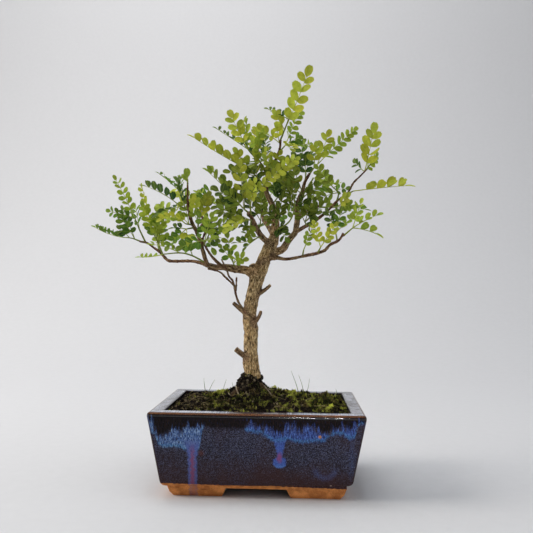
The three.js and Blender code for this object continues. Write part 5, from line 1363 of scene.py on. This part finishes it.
# Soft green that lets light through, mottled a little and paler along the midrib and side veins, so that a
# lit leaflet glows and a shaded one stays deep; each leaflet has a tone of its own
blade = new_material("soft_compound_leaf")
leaf_tone = node(blade, "Attribute", attribute_name="tone").outputs["Color"]
leaf_uv = node(blade, "UVMap", uv_map="leaflet")
leaf_u, leaf_v, _ = node(blade, "SeparateXYZ", [leaf_uv]).outputs
leaf_at = node(blade, "TexCoord").outputs["Object"]
mottle = node(blade, "TexNoise", {"Vector": leaf_at, "Scale": 420, "Detail": 3})
rib_offset = node(blade, "Math SUBTRACT", [leaf_u, 0.5])
off_rib = node(blade, "Math ABSOLUTE", [rib_offset])
vein_slant = node(blade, "Math MULTIPLY", [off_rib, -0.9])
vein_place = node(blade, "Math ADD", [leaf_v, vein_slant])
vein_run = node(blade, "Math MULTIPLY", [vein_place, 44])
vein_wave = node(blade, "Math SINE", [vein_run])
rib_share = node(blade, "MapRange", [off_rib, 0.06, 0.015, 0, 0.35])
vein_share = node(blade, "MapRange", [vein_wave, 0.75, 1, 0, 0.12])
mottle_share = node(blade, "MapRange", [mottle, 0.35, 0.7, 0, 0.3])
mottled_tone = node(blade, "MixRGB MULTIPLY", [mottle_share, leaf_tone, "#4f7a22"])
leaf_colour = lay_on(blade, mottled_tone, [("#b9c95c", rib_share), ("#b4c560", vein_share)])
vein_height = node(blade, "Math ADD", [rib_share, vein_share])
leaf_relief = node(blade, "Bump", {"Height": vein_height, "Strength": 0.35, "Distance": 0.0003})
leaf_look = {"Base Color": leaf_colour, "Roughness": 0.5, "Normal": leaf_relief, "Specular IOR Level": 0.14}
leaf_shade = node(blade, "BsdfPrincipled", leaf_look)
leaf_glow = node(blade, "BsdfTranslucent", {"Color": leaf_colour, "Normal": leaf_relief})
leaf_both = node(blade, "MixShader", [0.33, leaf_shade, leaf_glow])
node(blade, "OutputMaterial", [leaf_both])

# The green skin of shoots and ribs, with a brown fleck here and there
stalk = new_material("green_shoot_skin")
stalk_tone = node(stalk, "Attribute", attribute_name="tone").outputs["Color"]
stalk_at = node(stalk, "TexCoord").outputs["Object"]
stalk_grain = node(stalk, "TexNoise", {"Vector": stalk_at, "Scale": 600, "Detail": 2})
stalk_colour = lay_on(stalk, stalk_tone, [("#5d5a2a", (stalk_grain, 0.4, 0.7, 0, 0.4))], ease="LINEAR")
stalk_look = {"Base Color": stalk_colour, "Roughness": 0.5, "Specular IOR Level": 0.2}
stalk_shade = node(stalk, "BsdfPrincipled", stalk_look)
node(stalk, "OutputMaterial", [stalk_shade])

# The crown's middle and reach in millimetres, and the share by which painted shade darkens leaves deep inside
# it
CROWN_MIDDLE, CROWN_REACH = (5, -5, 212), (75, 45, 45)
CROWN_SHADE = 0.72
CROWN_LEFT, CROWN_RIGHT, CROWN_DEPTH = -139, 113, 54
RIB_STEPS, RIB_SIDES, SHOOT_SIDES = 8, 4, 6
chance = random.Random(41)


def shade_of(tone, share, at, spread=0.2):
    """A leaf tone, paler by a share towards a young one, darker with painted shade inside the crown, and
    varied by chance.
    """
    base, pale = linear(LEAF_TONES[tone]), linear("#b9c456")
    # Painted shade: the deeper a leaf lies inside the crown, the darker its tone
    inside = 1
    for measure, middle, reach in zip(at, CROWN_MIDDLE, CROWN_REACH):
        inside -= ((measure - middle) / reach) ** 2
    bright = (1 + chance.uniform(-spread, spread)) * (1 - CROWN_SHADE * max(inside, 0))
    warm = 1 + chance.uniform(-0.07, 0.07)
    red, green, blue = (b + (p - b) * share for b, p in zip(base[:3], pale[:3]))
    return (red * bright * warm, green * bright, blue * bright / warm, 1)


def on_tree(at):
    return in_pot(at.x, at.y, at.z + TREE_RISE)


def rib_at(rib, t):
    """The place on a rib, a curve from its base past its middle to its tip, where t goes from 0 to 1."""
    base, middle, tip = rib
    return base * (1 - t) ** 2 + middle * 2 * t * (1 - t) + tip * t * t


def rib_ways(rib, t, face):
    """The ways ahead, to the side and up from a rib whose leaflets face a way."""
    base, middle, tip = rib
    ahead = ((middle - base) * (1 - t) + (tip - middle) * t).normalized()
    side = ahead.cross(face).normalized()
    return ahead, side, side.cross(ahead).normalized()


class Spray:
    """The mesh lists of one spray, in metres."""

    def __init__(self):
        self.points, self.faces, self.tones, self.uvs, self.woody = [], [], [], [], []

    def stem(self, line, radii, sides, colours):
        add_tube(self.points, self.faces, line, radii, sides)
        self.woody += [1] * (len(self.faces) - len(self.woody))
        self.tones += [colour for colour in colours for _ in range(sides)]
        self.uvs += [(0.5, 0.5)] * (len(line) * sides)

    def leaflet(self, root, axis, cross, normal, length, width, colour):
        """A leaflet from its root, with its length and width in millimetres."""
        start = len(self.points)
        length, width = length / 1000, width / 1000
        for out, half, up in leaflet_points:
            self.points.append(root + axis * (out * length) + cross * (half * width) + normal * (up * length))
            self.uvs.append((0.5 + half, out))
        self.tones += [colour] * len(leaflet_points)
        self.faces += [tuple(start + i for i in f) for f in leaflet_faces]
        self.woody += [0] * len(leaflet_faces)

    def leaf(self, base, tip, rise, length, habit, tone, taper):
        """A rib from base to tip, pairs of leaflets along it and one at its end."""
        face, fold = HABITS[habit]
        face = Vector(face)
        if habit != "comb":
            face += Vector((chance.gauss(0, 0.3), chance.gauss(0, 0.2), chance.gauss(0, 0.3)))
        face.normalize()
        fold = math.radians(fold + chance.uniform(-12, 12))
        middle = (base + tip) / 2 + Vector((0, 0, rise))
        rib = (base, middle, tip)
        reach = (2 * (tip - base).length + (middle - base).length + (tip - middle).length) / 3
        bare = min(max(2.5, 0.13 * reach) / reach, 0.3)
        end = max(1 - 0.85 * length * (1 - 0.5 * taper) / reach, 0.15)
        pairs = max(0, round(reach * (end - bare) / (0.71 * length * (1 - 0.3 * taper))))
        shares = [i / RIB_STEPS for i in range(RIB_STEPS + 1)]
        places = [rib_at(rib, end * share) for share in shares]
        greens = [shade_of(tone, 0.6 + 0.3 * share, at, 0.03) for share, at in zip(shares, places)]
        radii = [(0.42 - 0.24 * share) / 1000 for share in shares]
        self.stem([on_tree(at) for at in places], radii, RIB_SIDES, greens)
        lean = math.radians(LEAFLET_LEAN[tone])
        for k in range(pairs):
            for hand in (1, -1):
                t = bare + (end - bare) * (k + 0.5 + chance.uniform(-0.08, 0.08)) / pairs
                ahead, side, up = rib_ways(rib, t, face)
                slant = lean + math.radians(chance.uniform(-10, 12))
                lift = fold + math.radians(chance.uniform(-16, 16))
                outward = side * hand * math.cos(lift) + up * math.sin(lift)
                axis = (outward * math.cos(slant) + ahead * math.sin(slant)).normalized()
                cross = (ahead - axis * ahead.dot(axis)).normalized()
                normal = axis.cross(cross) * hand
                roll = Quaternion(axis, math.radians(chance.gauss(0, 20)))
                swell = 0.86 + 0.14 * math.sin(math.pi * (k + 0.6) / pairs)
                swell *= 1 - taper * (k + 1) / (pairs + 1)
                size = length * swell * chance.uniform(0.93, 1.05)
                width = size * LEAFLET_WIDTH * chance.uniform(0.94, 1.06)
                at = rib_at(rib, t)
                colour = shade_of(tone, 0.28 * (k + 1) / (pairs + 1), at)
                root = on_tree(at + side * hand * 0.15)
                self.leaflet(root, axis, roll @ cross * hand, roll @ normal, size, width, colour)
        last = rib_at(rib, end)
        size = (tip - last).length
        colour = shade_of(tone, 0.35, tip)
        self.leaflet(on_tree(last), *rib_ways(rib, end, face), size, size * END_LEAFLET_WIDTH, colour)


for name, (spare_leaves, stem, leaves) in SPRAYS.items():
    spray = Spray()
    shoot = [Vector(point) for point in stem]
    line, _ = smooth_line([(*point, 0) for point in stem], 1.5, TREE_RISE)
    count = len(line)
    radii = [(0.75 - 0.35 * i / count) / 1000 for i in range(count)]
    skins = [linear("#6b4a2c" if i < 2 else "#7c8a38") for i in range(count)]
    spray.stem(line, radii, SHOOT_SIDES, skins)
    rows = [(shoot[number], Vector(tip), *manner) for number, tip, *manner in leaves]
    for row in rows:
        spray.leaf(*row)
    for number in range(spare_leaves):
        base, tip, rise, length, habit, tone, taper = rows[number % len(rows)]
        base = shoot[chance.randrange(len(shoot))].lerp(base, 0.5)
        swing = Quaternion((0, -1, 0), math.radians(chance.uniform(22, 60) * chance.choice((-1, 1))))
        away = swing @ (tip - base) * chance.uniform(0.5, 0.8)
        away.y += away.length * chance.uniform(-0.35, 0.9)
        goal = base + away
        goal.x = min(max(goal.x, CROWN_LEFT), CROWN_RIGHT)
        goal.y = min(max(goal.y, -CROWN_DEPTH), CROWN_DEPTH)
        tone = DARKER[tone] if chance.random() < 0.45 else tone
        rise = chance.uniform(-2, 4)
        length *= chance.uniform(0.85, 1)
        habit = chance.choice((habit, "front", "veed", "shelf"))
        spray.leaf(base, goal, rise, length, habit, tone, taper)
    piece = mesh_piece("leaves_" + name, spray.points, spray.faces, blade)
    mesh = piece.data
    mesh.materials.append(stalk)
    mesh.polygons.foreach_set("material_index", spray.woody)
    tones = mesh.attributes.new("tone", "FLOAT_COLOR", "POINT")
    tones.data.foreach_set("color", [part for tone in spray.tones for part in tone])
    places = mesh.uv_layers.new(name="leaflet")
    places.data.foreach_set("uv", [part for loop in mesh.loops for part in spray.uvs[loop.vertex_index]])
    mesh.update()
    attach(piece, "root")
    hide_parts("spray_" + name)
